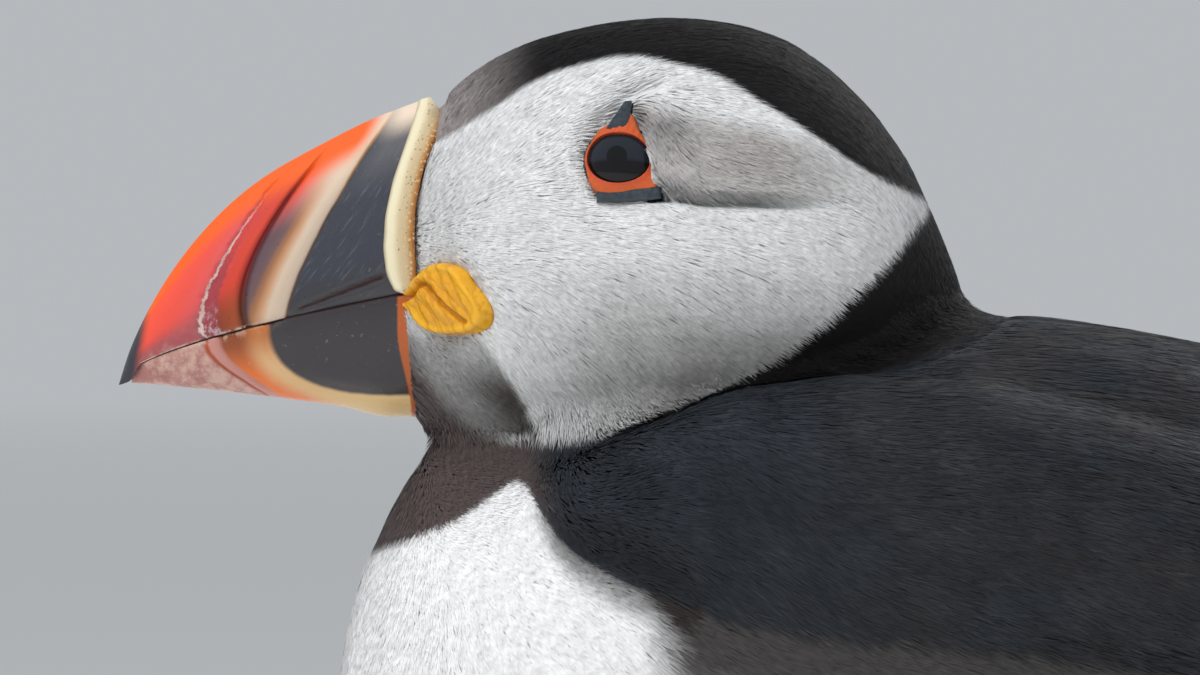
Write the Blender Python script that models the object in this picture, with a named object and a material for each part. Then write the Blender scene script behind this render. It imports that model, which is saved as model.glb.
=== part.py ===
"""Atlantic puffin, life size, standing level with its neck drawn in.

The bird faces -Y, its left side is +X and the floor is z = 0. Places are given in millimetres
in that frame and turned into metres where a mesh is made.
"""

import math

import bmesh
import bpy
from mathutils import Matrix, Vector

MM = 0.001
GAP = 0.3 * MM

# Overall size, from the bill's tip to the tail's end, and the height of the bill's tip.
TOTAL_LENGTH = 214
BILL_TIP_HEIGHT = 122.5
BILL_TIP = (-TOTAL_LENGTH / 2, BILL_TIP_HEIGHT)

# Bill: the culmen is an arc with a shallow dip, the mouth line and lower edge are power curves.
# Sections lie closer together where the bill bends more. An arch is its number of steps from the
# mouth line, the power that fills it out and the power that rounds it over.
BILL_RUN = 35
BILL_HALF_WIDTH = 8.2
BILL_TIP_HALF_WIDTH = 0.9
CULMEN_RADIUS = 46
CULMEN_CENTRE = (44, -13.5)
CULMEN_DIP = 0.6
CULMEN_DIP_RUN = 22.5
CULMEN_DIP_REACH = 6.5
BILL_SPREAD = 0.85
BILL_SECTIONS = (0.4, 1.2, 2.5, 4.5, 7.5, 11, 15, 19.5, 24, 28.5, 33, 38)
UPPER_ARCH = (6, 1.8, 0.75)
LOWER_ARCH = (4, 2.4, 0.6)
LOWER_START = 1
MOUTH_CORNER_RISE = 9.6
MOUTH_CORNER_RUN = 31
MOUTH_CURVE = 0.62
LOWER_EDGE_DROP = 4
LOWER_EDGE_CURVE = 1.25
CORE_SLOPE = 2

# Ridge: a band over the bill's base. Its line rises as an arch from foot to top and bows forward.
RIDGE_HALF_WIDTH = 1.7
RIDGE_HALF_THICKNESS = 0.8
RIDGE_LIFT = 0.7
RIDGE_BOW = 3.6
RIDGE_ARCH = 1.4
RIDGE_FOOT_RUN = MOUTH_CORNER_RUN + 1.5
RIDGE_TOP_RUN = BILL_RUN + 1
RIDGE_FOOT_RISE = MOUTH_CORNER_RISE + 1
RIDGE_CROWN = 0.4
RIDGE_CROWN_TILT = 3
RIDGE_SIDE_TILT = 0.6
RIDGE_RINGS = 18
RIDGE_NUDGE = 0.02
RIDGE_SIDES = 8
ROSETTE_RADII = (6.2, 4.3, 1.9)
ROSETTE_PLACE = (-70.3, 131.6)

# Head: crown line, jaw line and half width, from the bill's base to the back of the head.
CROWN_LINE = [(-72, 154), (-63, 160), (-52, 163), (-41, 163.4), (-30, 160), (-19.5, 149.5), (-12.5, 134)]
JAW_LINE = [(-73.5, 119), (-68, 116), (-58, 114.5), (-48, 115), (-36, 116.5), (-24, 120), (-12.5, 129)]
HEAD_HALF_WIDTHS = [9, 16.5, 20.5, 22.3, 22, 17.5, 3]
HEAD_LOW = 0.12
HEAD_SQUARENESS = 2.1
HEAD_RINGS = 14
HEAD_SIDES = 22

# Body: back line, belly line and half width, from inside the head to the root of the tail.
BACK_LINE = [(-20, 141), (-13, 131.5), (-1, 129.5), (18, 126), (40, 119), (60, 108.5), (77, 95), (90, 82)]
BELLY_LINE = [(-68, 120), (-75, 111), (-81, 97), (-82.5, 74), (-70, 50), (-38, 35), (8, 37.5), (62, 62)]
BODY_HALF_WIDTHS = [6, 13, 27, 37, 40, 38.5, 30, 15]
BODY_SQUARENESS = 2.15
BODY_SIDES = 24
NECK_END = 0.24
NECK_SLIT = 0.002
NECK_RINGS = 4
TRUNK_RINGS = 13

# Tail: upper line, lower line and half width. It is a short, slightly fanned wedge.
TAIL_TOP = [(84, 87), (94, 79.5), (101, 76.5), (107, 74.8)]
TAIL_UNDER = [(57, 60), (79, 70.5), (96, 73.5), (107, 74.1)]
TAIL_HALF_WIDTHS = [17, 17, 19, 12]
TAIL_SQUARENESS = 2.4
TAIL_RINGS = 7
TAIL_SIDES = 16

# Folded wing along y: top edge (x, z), bottom edge (x, z), bulge out of that chord, thickness.
WING_Y = [-63, -52, -35, -12, 12, 35, 58, 78, 91]
WING_TOP = [(20, 111), (21, 117.5), (22.5, 123), (24.5, 123.5), (26, 117.5), (25.5, 109.5), (20, 99),
            (12, 89), (7, 82.5)]
WING_BOTTOM = [(22, 108), (30, 102), (37, 98), (41, 95), (41.5, 91), (38, 87), (30, 84), (19, 82), (10, 80.5)]
WING_BULGE = [0.3, 4, 8, 9, 8.5, 7, 4.5, 2, 0.2]
WING_THICKNESS = [1.3, 4.5, 6.5, 6.5, 6, 5, 3.5, 2, 1]
WING_EDGE = 0.8
WING_RINGS = 13
WING_STEPS = 6

# Eye: place on the head, ball and the horny ring and plates round it.
EYE_PLACE = (-51.2, 147.5)
EYE_RADIUS = 4.8
EYE_DEPTH = 3.5
EYE_RING_RADIUS = 3.8
EYE_RING_TUBE = 0.8
EYE_RING_SQUASH = 0.92
EYE_RING_TURNS = 18
EYE_RING_SIDES = 6
SOCKET_RADII = (6.4, 8, 1.9)
UPPER_PLATE_PLACE = (0.3, 5.2, 0)
UPPER_PLATE_RADII = (1.5, 1.9, 0.9)
LOWER_PLATE_PLACE = (0.9, -4.6, 0)
LOWER_PLATE_RADII = (3.7, 0.9, 0.9)
BALL_SEGMENTS = 14
PLATE_SEGMENTS = 10
SEAT_REACH = 60

# Legs and webbed feet.
HIP = (20, -4, 52)
KNEE = (23, 7, 38)
ANKLE = (23.5, 18, 27)
TOE_ROOT = (24, 5, 4)
THIGH_RADII = (15, 10, 3.6)
THIGH_NARROWING = 0.8
THIGH_RINGS = 7
THIGH_SIDES = 12
TARSUS_RADII = (2.5, 2.0, 2.3)
TARSUS_LIFT = 0.08
TARSUS_OVERRUN = 1.5
INSTEP_RADII = (3.4, 4.4, 3.2)
TOE_NAMES = ("inner", "middle", "outer")
TOE_LENGTHS = (27, 36, 34)
TOE_SPREAD = (-24, -2, 20)
TOE_RADIUS = 2.0
TOE_TIP_RADIUS = 1.3
TOE_KNUCKLES = (0.35, 0.7)
TOE_SWELLINGS = (1.2, 1, 0.85)
TOE_HEIGHT = 1.6
CLAW_LENGTH = 6
CLAW_SEAM = 0.4
CLAW_HEIGHTS = (1.6, 2, 0.7)
CLAW_RADII = (1.1, 0.9, 0.3)
WEB_THICKNESS = 1.2
WEB_NOTCH = 0.86
WEB_HEEL = 2
FLOOR_REACH = 80
FLOOR_DEPTH = 20

SHARP_ANGLE = 40
DEFAULT_ROUGHNESS = 0.5
ROUGHNESS = {"eye": 0.05, "bill": 0.35, "plate": 0.4, "claw": 0.35, "black": 0.7, "white": 0.8}

COLOURS = {
    "black": (0.022, 0.020, 0.021),
    "white": (0.78, 0.77, 0.75),
    "bill": (0.75, 0.12, 0.035),
    "ridge": (0.78, 0.68, 0.42),
    "rosette": (0.80, 0.36, 0.02),
    "eye": (0.010, 0.010, 0.012),
    "eye_ring": (0.60, 0.09, 0.02),
    "plate": (0.045, 0.065, 0.085),
    "leg": (0.80, 0.17, 0.03),
    "claw": (0.020, 0.018, 0.017),
}


def clear_scene():
    for item in list(bpy.data.objects):
        bpy.data.objects.remove(item, do_unlink=True)


def new_collection(name):
    group = bpy.data.collections.new(name)
    bpy.context.scene.collection.children.link(group)
    return group


def material(name):
    """Plain surface of one of the named colours."""
    surface = bpy.data.materials.get(name) or bpy.data.materials.new(name)
    surface.use_nodes = True
    shader = surface.node_tree.nodes["Principled BSDF"]
    shader.inputs["Base Color"].default_value = (*COLOURS[name], 1)
    shader.inputs["Roughness"].default_value = ROUGHNESS.get(name, DEFAULT_ROUGHNESS)
    shader.inputs["Metallic"].default_value = 0
    return surface


def add_object(name, mesh, group, surface):
    item = bpy.data.objects.new(name, mesh)
    group.objects.link(item)
    if surface:
        mesh.materials.clear()
        mesh.materials.append(surface)
    mesh.shade_smooth()
    mesh.set_sharp_from_angle(angle=math.radians(SHARP_ANGLE))
    return item


def as_guide(item):
    """Marks a cutter or a joined-in form, which isn't a piece of its own."""
    item.display_type = "WIRE"
    item.hide_render = True
    return item


def along(knots, t):
    """Catmull-Rom curve through evenly spaced knots, read at t from 0 to 1."""
    rows = [knot if isinstance(knot, tuple) else (knot,) for knot in knots]
    last = len(rows) - 1
    place = min(max(t, 0), 1) * last
    index = min(int(place), last - 1)
    part = place - index
    start = rows[index]
    end = rows[index + 1]
    before = rows[index - 1] if index else tuple(2 * a - b for a, b in zip(start, end))
    after = rows[index + 2] if index + 2 <= last else tuple(2 * b - a for a, b in zip(start, end))
    result = []
    for a, b, c, d in zip(before, start, end, after):
        slope = (c - a) * part
        bend = (2 * a - 5 * b + 4 * c - d) * part ** 2
        twist = (3 * b - a - 3 * c + d) * part ** 3
        result.append((2 * b + slope + bend + twist) / 2)
    return result if len(result) > 1 else result[0]


def section(top, bottom, half_width, squareness, low, count):
    """Superellipse ring across X, from the (y, z) point top down to bottom, wider below by low."""
    points = []
    for step in range(count):
        angle = 2 * math.pi * step / count
        up = math.copysign(abs(math.cos(angle)) ** (2 / squareness), math.cos(angle))
        out = math.copysign(abs(math.sin(angle)) ** (2 / squareness), math.sin(angle))
        mix = (1 - up) / 2
        y = top[0] + (bottom[0] - top[0]) * mix
        z = top[1] + (bottom[1] - top[1]) * mix
        points.append((half_width * out * (1 - low * up), y, z))
    return points


def loft(name, rings):
    """Closed mesh through rings of equal count, with a face over each end."""
    mesh = bpy.data.meshes.new(name)
    form = bmesh.new()
    rows = [[form.verts.new(Vector(point) * MM) for point in ring] for ring in rings]
    count = len(rings[0])
    for near, far in zip(rows, rows[1:]):
        for step in range(count):
            after = (step + 1) % count
            form.faces.new((near[step], near[after], far[after], far[step]))
    form.faces.new(rows[0])
    form.faces.new(rows[-1])
    bmesh.ops.triangulate(form, faces=form.faces[:])
    bmesh.ops.recalc_face_normals(form, faces=form.faces[:])
    form.to_mesh(mesh)
    form.free()
    return mesh


def tube(name, points, radii):
    """Round tube of changing radius through points in metres, closed at both ends."""
    curve = bpy.data.curves.new(name, "CURVE")
    curve.dimensions = "3D"
    curve.bevel_depth = 1
    curve.bevel_resolution = 1
    curve.use_fill_caps = True
    spline = curve.splines.new("POLY")
    spline.points.add(len(points) - 1)
    for knot, place, radius in zip(spline.points, points, radii):
        knot.co = (*place, 1)
        knot.radius = radius
    item = bpy.data.objects.new(name, curve)
    bpy.context.scene.collection.objects.link(item)
    depsgraph = bpy.context.evaluated_depsgraph_get()
    mesh = bpy.data.meshes.new_from_object(item.evaluated_get(depsgraph))
    bpy.data.objects.remove(item)
    form = bmesh.new()
    form.from_mesh(mesh)
    bmesh.ops.remove_doubles(form, verts=form.verts[:], dist=0.00001)
    bmesh.ops.recalc_face_normals(form, faces=form.faces[:])
    form.to_mesh(mesh)
    form.free()
    return mesh


def grown(item, group, distance=GAP):
    """Copy of a part's uncut form, swollen by distance, which leaves that gap where it cuts."""
    cutter = bpy.data.objects.new("room_for_" + item.name, item.data)
    group.objects.link(cutter)
    cutter.matrix_world = item.matrix_world
    swell = cutter.modifiers.new("swell", "DISPLACE")
    swell.strength = distance
    swell.mid_level = 0
    return as_guide(cutter)


def combine(item, others, operation="DIFFERENCE"):
    for other in others:
        change = item.modifiers.new(other.name, "BOOLEAN")
        change.operation = operation
        change.solver = "EXACT"
        change.object = other


def block(name, group, low, high):
    """Box cutter between two corners in millimetres."""
    mesh = bpy.data.meshes.new(name)
    form = bmesh.new()
    middle = [(a + b) / 2 * MM for a, b in zip(low, high)]
    size = [(b - a) * MM for a, b in zip(low, high)]
    bmesh.ops.create_cube(form, size=1, matrix=Matrix.LocRotScale(middle, None, size))
    form.to_mesh(mesh)
    form.free()
    return as_guide(add_object(name, mesh, group, None))


def culmen_rise(run):
    """Height of the culmen above the bill's tip: an arc less a shallow dip behind its middle."""
    back, up = CULMEN_CENTRE
    dip = CULMEN_DIP * math.exp(-((run - CULMEN_DIP_RUN) / CULMEN_DIP_REACH) ** 2)
    return up + math.sqrt(CULMEN_RADIUS ** 2 - (back - run) ** 2) - dip


def mouth_rise(run):
    return MOUTH_CORNER_RISE * (run / MOUTH_CORNER_RUN) ** MOUTH_CURVE


def lower_rise(run):
    return -LOWER_EDGE_DROP * (run / BILL_RUN) ** LOWER_EDGE_CURVE


def bill_half_width(run):
    spread = (min(run, BILL_RUN) / BILL_RUN) ** BILL_SPREAD
    return BILL_TIP_HALF_WIDTH + (BILL_HALF_WIDTH - BILL_TIP_HALF_WIDTH) * spread


def arch_width(run, part, arch):
    """Half width of the bill at a part of the way from the mouth line to the section's edge."""
    power, roundness = arch[1:]
    return bill_half_width(run) * (1 - part ** power) ** roundness


def bill_ring(run, edge_rise, mouth, arch):
    """Arched section: full width at the mouth line, closing over to the culmen or lower edge."""
    side = []
    steps = arch[0]
    for step in range(steps + 1):
        part = step / steps
        x = arch_width(run, part, arch)
        side.append((x, BILL_TIP[0] + run, BILL_TIP[1] + mouth + (edge_rise - mouth) * part))
    other = [(-x, y, z) for x, y, z in reversed(side[:-1])]
    return side + other


def make_bill(group, surface):
    seam = GAP / MM / 2
    upper = []
    lower = []
    for run in BILL_SECTIONS:
        mouth = mouth_rise(run)
        top = culmen_rise(min(run, BILL_RUN)) - max(run - BILL_RUN, 0) * CORE_SLOPE
        upper.append(bill_ring(run, top, mouth + seam, UPPER_ARCH))
        if run > LOWER_START:
            lower.append(bill_ring(run, lower_rise(run), mouth - seam, LOWER_ARCH))
    top_half = add_object("bill_upper", loft("bill_upper", upper), group, surface)
    low_half = add_object("bill_lower", loft("bill_lower", lower), group, surface)
    return top_half, low_half


def ridge_place(part):
    """Centre of the ridge, from the left mouth corner (-1) over the culmen (0) to the right (1)."""
    height = 1 - abs(part) ** RIDGE_ARCH
    top = culmen_rise(BILL_RUN)
    rise = RIDGE_FOOT_RISE + (top - RIDGE_FOOT_RISE) * height
    run = RIDGE_FOOT_RUN + (RIDGE_TOP_RUN - RIDGE_FOOT_RUN) * height
    run -= RIDGE_BOW * math.sin(math.pi * height) * (1 - height / 2)
    x = -math.copysign(arch_width(run, height, UPPER_ARCH), part)
    return Vector((x, BILL_TIP[0] + run, BILL_TIP[1] + rise))


def make_ridge(group, surface):
    """Band of elliptical section bent round the bill's base."""
    rings = []
    for step in range(RIDGE_RINGS + 1):
        part = -1 + 2 * step / RIDGE_RINGS
        place = ridge_place(part)
        ahead = ridge_place(min(part + RIDGE_NUDGE, 1)) - ridge_place(max(part - RIDGE_NUDGE, -1))
        tilt = RIDGE_CROWN_TILT if abs(part) < RIDGE_CROWN else RIDGE_SIDE_TILT
        outward = Vector((place.x, 0, tilt)).normalized()
        across = ahead.cross(outward).normalized()
        outward = across.cross(ahead).normalized()
        ring = []
        for turn in range(RIDGE_SIDES):
            angle = 2 * math.pi * turn / RIDGE_SIDES
            wide = across * RIDGE_HALF_WIDTH * math.cos(angle)
            ring.append(place + wide + outward * (RIDGE_LIFT + RIDGE_HALF_THICKNESS * math.sin(angle)))
        rings.append(ring)
    return add_object("bill_ridge", loft("bill_ridge", rings), group, surface)


def make_head(group, surface):
    rings = []
    for step in range(HEAD_RINGS + 1):
        t = step / HEAD_RINGS
        crown = along(CROWN_LINE, t)
        jaw = along(JAW_LINE, t)
        half_width = along(HEAD_HALF_WIDTHS, t)
        rings.append(section(crown, jaw, half_width, HEAD_SQUARENESS, HEAD_LOW, HEAD_SIDES))
    return add_object("head", loft("head", rings), group, surface)


def body_rings(start, end, steps):
    rings = []
    for step in range(steps + 1):
        t = start + (end - start) * step / steps
        back = along(BACK_LINE, t)
        belly = along(BELLY_LINE, t)
        half_width = along(BODY_HALF_WIDTHS, t)
        rings.append(section(back, belly, half_width, BODY_SQUARENESS, 0, BODY_SIDES))
    return rings


def make_body(group, black, white):
    """Neck and trunk share one form, parted by a thin gap along a section."""
    neck_rings = body_rings(0, NECK_END - NECK_SLIT, NECK_RINGS)
    trunk_rings = body_rings(NECK_END + NECK_SLIT, 1, TRUNK_RINGS)
    neck = add_object("neck", loft("neck", neck_rings), group, black)
    trunk = add_object("trunk", loft("trunk", trunk_rings), group, white)
    return neck, trunk


def make_tail(group, surface):
    rings = []
    for step in range(TAIL_RINGS + 1):
        t = step / TAIL_RINGS
        top = along(TAIL_TOP, t)
        under = along(TAIL_UNDER, t)
        half_width = along(TAIL_HALF_WIDTHS, t)
        rings.append(section(top, under, half_width, TAIL_SQUARENESS, 0, TAIL_SIDES))
    return add_object("tail", loft("tail", rings), group, surface)


def make_wing(side, group, surface):
    """Lens that wraps the flank: an outer bow from top edge to bottom edge and an inner one."""
    rings = []
    for row in range(WING_RINGS + 1):
        t = row / WING_RINGS
        y = along(WING_Y, t)
        top = along(WING_TOP, t)
        bottom = along(WING_BOTTOM, t)
        bulge = along(WING_BULGE, t)
        thickness = along(WING_THICKNESS, t)
        chord = Vector(bottom) - Vector(top)
        normal = Vector((-chord.y, chord.x)).normalized()
        outer = []
        inner = []
        for step in range(WING_STEPS + 1):
            part = step / WING_STEPS
            place = Vector(top) + chord * part + normal * bulge * 4 * part * (1 - part)
            slope = chord + normal * bulge * 4 * (1 - 2 * part)
            depth = WING_EDGE + (thickness - WING_EDGE) * math.sin(math.pi * part)
            inward = Vector((slope.y, -slope.x)).normalized() * depth
            outer.append((side * place.x, y, place.y))
            inner.append((side * (place.x + inward.x), y, place.y + inward.y))
        rings.append(outer + inner[::-1])
    name = "wing_left" if side > 0 else "wing_right"
    return add_object(name, loft(name, rings), group, surface)


def seat(item, place, side):
    """Frame on the outside of a form: X backward, Y up, Z out of the surface."""
    bpy.context.view_layer.update()
    origin = Vector((side * SEAT_REACH, place[0], place[1])) * MM
    hit, location, normal, _ = item.ray_cast(origin, Vector((-side, 0, 0)))
    if not hit:
        raise RuntimeError("nothing to seat on at " + str(place))
    back = (Vector((0, 1, 0)) - normal * normal.y).normalized()
    up = normal.cross(back) * side
    frame = Matrix((back, up, normal)).transposed().to_4x4()
    frame.translation = location
    return frame


def ball(name, frame, radii, group, surface, segments=BALL_SEGMENTS):
    """Ellipsoid in a seat's frame, with its radii in millimetres."""
    mesh = bpy.data.meshes.new(name)
    form = bmesh.new()
    bmesh.ops.create_uvsphere(form, u_segments=segments, v_segments=segments // 2, radius=MM)
    bmesh.ops.scale(form, vec=radii, verts=form.verts[:])
    bmesh.ops.transform(form, matrix=frame, verts=form.verts[:])
    bmesh.ops.recalc_face_normals(form, faces=form.faces[:])
    form.to_mesh(mesh)
    form.free()
    return add_object(name, mesh, group, surface)


def torus(name, frame, group, surface):
    """Ring round the eye, swept from one circle."""
    rings = []
    for turn in range(EYE_RING_TURNS):
        angle = 2 * math.pi * turn / EYE_RING_TURNS
        centre = Vector((math.cos(angle), math.sin(angle) * EYE_RING_SQUASH, 0))
        ring = []
        for step in range(EYE_RING_SIDES):
            swing = 2 * math.pi * step / EYE_RING_SIDES
            reach = EYE_RING_RADIUS + EYE_RING_TUBE * math.cos(swing)
            ring.append(centre * reach + Vector((0, 0, EYE_RING_TUBE * math.sin(swing))))
        rings.append(ring)
    mesh = bpy.data.meshes.new(name)
    form = bmesh.new()
    rows = [[form.verts.new(frame @ (point * MM)) for point in ring] for ring in rings]
    for near, far in zip(rows, rows[1:] + rows[:1]):
        for step in range(EYE_RING_SIDES):
            after = (step + 1) % EYE_RING_SIDES
            form.faces.new((near[step], near[after], far[after], far[step]))
    bmesh.ops.recalc_face_normals(form, faces=form.faces[:])
    form.to_mesh(mesh)
    form.free()
    return add_object(name, mesh, group, surface)


def make_eye(side, frame, group, cutters, surfaces):
    name = "left" if side > 0 else "right"
    inside = frame @ Matrix.Translation((0, 0, -EYE_DEPTH * MM))
    eye = ball("eye_" + name, inside, (EYE_RADIUS,) * 3, group, surfaces["eye"])
    ring = torus("eye_ring_" + name, frame, group, surfaces["eye_ring"])
    horn = surfaces["plate"]
    upper_frame = frame @ Matrix.Translation(Vector(UPPER_PLATE_PLACE) * MM)
    upper = ball("eye_plate_upper_" + name, upper_frame, UPPER_PLATE_RADII, group, horn, PLATE_SEGMENTS)
    lower_frame = frame @ Matrix.Translation(Vector(LOWER_PLATE_PLACE) * MM)
    lower = ball("eye_plate_lower_" + name, lower_frame, LOWER_PLATE_RADII, group, horn, PLATE_SEGMENTS)
    eye_room = grown(eye, cutters)
    combine(upper, [eye_room])
    combine(lower, [eye_room])
    combine(ring, [eye_room, grown(upper, cutters), grown(lower, cutters)])
    socket = as_guide(ball("socket_" + name, frame, SOCKET_RADII, cutters, None))
    return [eye_room, socket]


def make_thigh(side, group, surface):
    name = "thigh_left" if side > 0 else "thigh_right"
    knots = [(side * x, y, z) for x, y, z in (HIP, KNEE, ANKLE)]
    rings = []
    for step in range(THIGH_RINGS + 1):
        t = step / THIGH_RINGS
        place = Vector(along(knots, t))
        radius = along(THIGH_RADII, t)
        ring = []
        for turn in range(THIGH_SIDES):
            angle = 2 * math.pi * turn / THIGH_SIDES
            across = math.cos(angle) * radius * THIGH_NARROWING
            ring.append(place + Vector((across, math.sin(angle) * radius, 0)))
        rings.append(ring)
    return add_object(name, loft(name, rings), group, surface)


def toe_end(side, toe):
    angle = math.radians(TOE_SPREAD[toe])
    reach = TOE_LENGTHS[toe]
    x = TOE_ROOT[0] + reach * math.sin(angle)
    return Vector((side * x, TOE_ROOT[1] - reach * math.cos(angle), TOE_TIP_RADIUS))


def make_foot(side, group, cutters, floor, surfaces):
    """Three toes joined by a thin web, flat underneath, with a tarsus above and claws ahead."""
    name = "left" if side > 0 else "right"
    root = Vector((side * TOE_ROOT[0], TOE_ROOT[1], TOE_ROOT[2]))
    ends = [toe_end(side, toe) for toe in range(3)]

    rim = [root + Vector((0, WEB_HEEL, 0))]
    for toe, end in enumerate(ends):
        rim.append(end)
        if toe < 2:
            rim.append(root + ((end + ends[toe + 1]) / 2 - root) * WEB_NOTCH)
    low = [(point.x, point.y, 0) for point in rim]
    high = [(point.x, point.y, WEB_THICKNESS) for point in rim]
    foot = add_object("foot_" + name, loft("foot_" + name, [low, high]), group, surfaces["leg"])

    instep = ball("instep_" + name, Matrix.Translation(root * MM), INSTEP_RADII, cutters, None)
    unions = [as_guide(instep)]
    for toe, end in zip(TOE_NAMES, ends):
        knuckles = [root.lerp(end, part) for part in TOE_KNUCKLES]
        for knuckle in knuckles:
            knuckle.z = TOE_HEIGHT
        knots = [root] + knuckles + [end]
        radii = [TOE_RADIUS * swelling for swelling in TOE_SWELLINGS] + [TOE_TIP_RADIUS]
        label = "toe_" + toe + "_" + name
        mesh = tube(label, [knot * MM for knot in knots], [radius * MM for radius in radii])
        unions.append(as_guide(add_object(label, mesh, cutters, None)))
    combine(foot, unions, "UNION")
    combine(foot, [floor])

    for toe, end in zip(TOE_NAMES, ends):
        ahead = (end - root).normalized()
        ahead.z = 0
        start = end + ahead * CLAW_SEAM
        tip = start + ahead * CLAW_LENGTH
        claw = [start, start.lerp(tip, 0.5), tip]
        for point, height in zip(claw, CLAW_HEIGHTS):
            point.z = height
        label = "claw_" + toe + "_" + name
        mesh = tube(label, [point * MM for point in claw], [radius * MM for radius in CLAW_RADII])
        add_object(label, mesh, group, surfaces["claw"])

    ankle = Vector((side * ANKLE[0], ANKLE[1], ANKLE[2]))
    top = ankle + (ankle - root).normalized() * TARSUS_OVERRUN
    shank = (top, ankle.lerp(root, 0.5), root.lerp(ankle, TARSUS_LIFT))
    label = "leg_" + name
    mesh = tube(label, [point * MM for point in shank], [radius * MM for radius in TARSUS_RADII])
    leg = add_object(label, mesh, group, surfaces["leg"])
    return foot, leg


def main():
    clear_scene()
    parts = new_collection("atlantic_puffin")
    cutters = new_collection("cutters")
    surfaces = {name: material(name) for name in COLOURS}
    low = (-FLOOR_REACH, -FLOOR_REACH, -FLOOR_DEPTH)
    high = (FLOOR_REACH, FLOOR_REACH, 0)
    floor = block("under_floor", cutters, low, high)

    head = make_head(parts, surfaces["white"])
    eye_seats = {side: seat(head, EYE_PLACE, side) for side in (1, -1)}
    rosette_seats = {side: seat(head, ROSETTE_PLACE, side) for side in (1, -1)}
    neck, trunk = make_body(parts, surfaces["black"], surfaces["white"])
    tail = make_tail(parts, surfaces["black"])
    upper, lower = make_bill(parts, surfaces["bill"])
    ridge = make_ridge(parts, surfaces["ridge"])

    upper_room = grown(upper, cutters)
    lower_room = grown(lower, cutters)
    ridge_room = grown(ridge, cutters)
    head_room = grown(head, cutters)
    combine(ridge, [upper_room, lower_room])
    combine(head, [upper_room, lower_room, ridge_room])
    combine(neck, [head_room, lower_room])
    combine(trunk, [head_room, grown(tail, cutters)])

    for side in (1, -1):
        name = "left" if side > 0 else "right"
        combine(head, make_eye(side, eye_seats[side], parts, cutters, surfaces))
        rosette = ball("rosette_" + name, rosette_seats[side], ROSETTE_RADII, parts, surfaces["rosette"])
        rosette_room = grown(rosette, cutters)
        for item in (head, ridge, upper, lower):
            combine(item, [rosette_room])

        wing = make_wing(side, parts, surfaces["black"])
        combine(wing, [head_room])
        wing_room = grown(wing, cutters)
        for item in (neck, trunk, tail):
            combine(item, [wing_room])

        thigh = make_thigh(side, parts, surfaces["white"])
        combine(trunk, [grown(thigh, cutters)])
        foot, leg = make_foot(side, parts, cutters, floor, surfaces)
        leg_room = grown(leg, cutters)
        combine(thigh, [leg_room])
        combine(foot, [leg_room])


main()
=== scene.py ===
import bmesh
import bpy
import numpy as np
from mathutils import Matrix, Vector


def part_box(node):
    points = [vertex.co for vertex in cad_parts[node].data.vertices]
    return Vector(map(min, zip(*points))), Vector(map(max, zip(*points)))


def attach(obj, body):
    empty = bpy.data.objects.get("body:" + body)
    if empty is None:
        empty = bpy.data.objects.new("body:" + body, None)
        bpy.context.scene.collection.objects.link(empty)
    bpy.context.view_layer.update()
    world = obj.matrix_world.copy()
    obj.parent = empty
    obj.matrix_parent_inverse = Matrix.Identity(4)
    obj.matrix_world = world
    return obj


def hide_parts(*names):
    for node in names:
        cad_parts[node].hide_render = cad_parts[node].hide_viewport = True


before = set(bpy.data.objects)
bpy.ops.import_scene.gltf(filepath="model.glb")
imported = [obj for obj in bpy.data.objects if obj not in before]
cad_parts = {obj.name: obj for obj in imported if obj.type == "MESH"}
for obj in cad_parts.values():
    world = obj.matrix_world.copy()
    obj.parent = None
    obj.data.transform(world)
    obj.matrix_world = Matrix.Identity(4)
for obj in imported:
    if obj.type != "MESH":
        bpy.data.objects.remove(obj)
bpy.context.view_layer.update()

mm = 0.001
sides = {"left": 1, "right": -1}


# Small sums. Places are in mm: x to the bird's left, y back, z up.

def ease(low, high, value):
    # 0 below low, 1 above high, with a soft S between
    part = np.clip((value - low) / (high - low), 0, 1)
    return part * part * (3 - 2 * part)


def hill(value, centre, width):
    # bell curve, 1 at its centre
    return np.exp(-((value - centre) / width) ** 2)


def blend(first, second, part):
    return first + (np.array(second) - first) * np.asarray(part)[..., None]


def lineAt(knots, value, soft=1.5):
    # height of a line through (place, height) knots, its corners rounded over a short stretch
    places, heights = np.array(knots, float).T
    return sum(np.interp(value + step * soft, places, heights) for step in (-1.5, -0.5, 0.5, 1.5)) / 4


def unit(vectors):
    return vectors / np.maximum(np.linalg.norm(vectors, axis=-1, keepdims=True), 1e-9)


def dot(first, second):
    return (first * second).sum(-1, keepdims=True)


def circle(count):
    # even angles round a full turn
    return np.arange(count) / count * 2 * np.pi


def wrapped(angle, centre):
    # degrees away from a direction, -180 to 180
    return (angle - centre + 180) % 360 - 180


def sheet(rows, columns):
    # the two parameters of a surface, as grids
    return np.meshgrid(rows, columns, indexing="ij")


def ripple(points, scale, seed, octaves=3, fullTurn=6.283):
    # soft noise: sums of sines along random directions, about -1 to 1
    dice = np.random.default_rng(seed)
    total = np.zeros(len(points))
    for octave in range(octaves):
        for turn in range(5):
            wave = unit(dice.normal(size=3)) * 2 ** octave * fullTurn / scale
            total += np.sin(points @ wave + dice.uniform(0, fullTurn)) / 2 ** octave
    return total / 4


# Meshes

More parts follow.
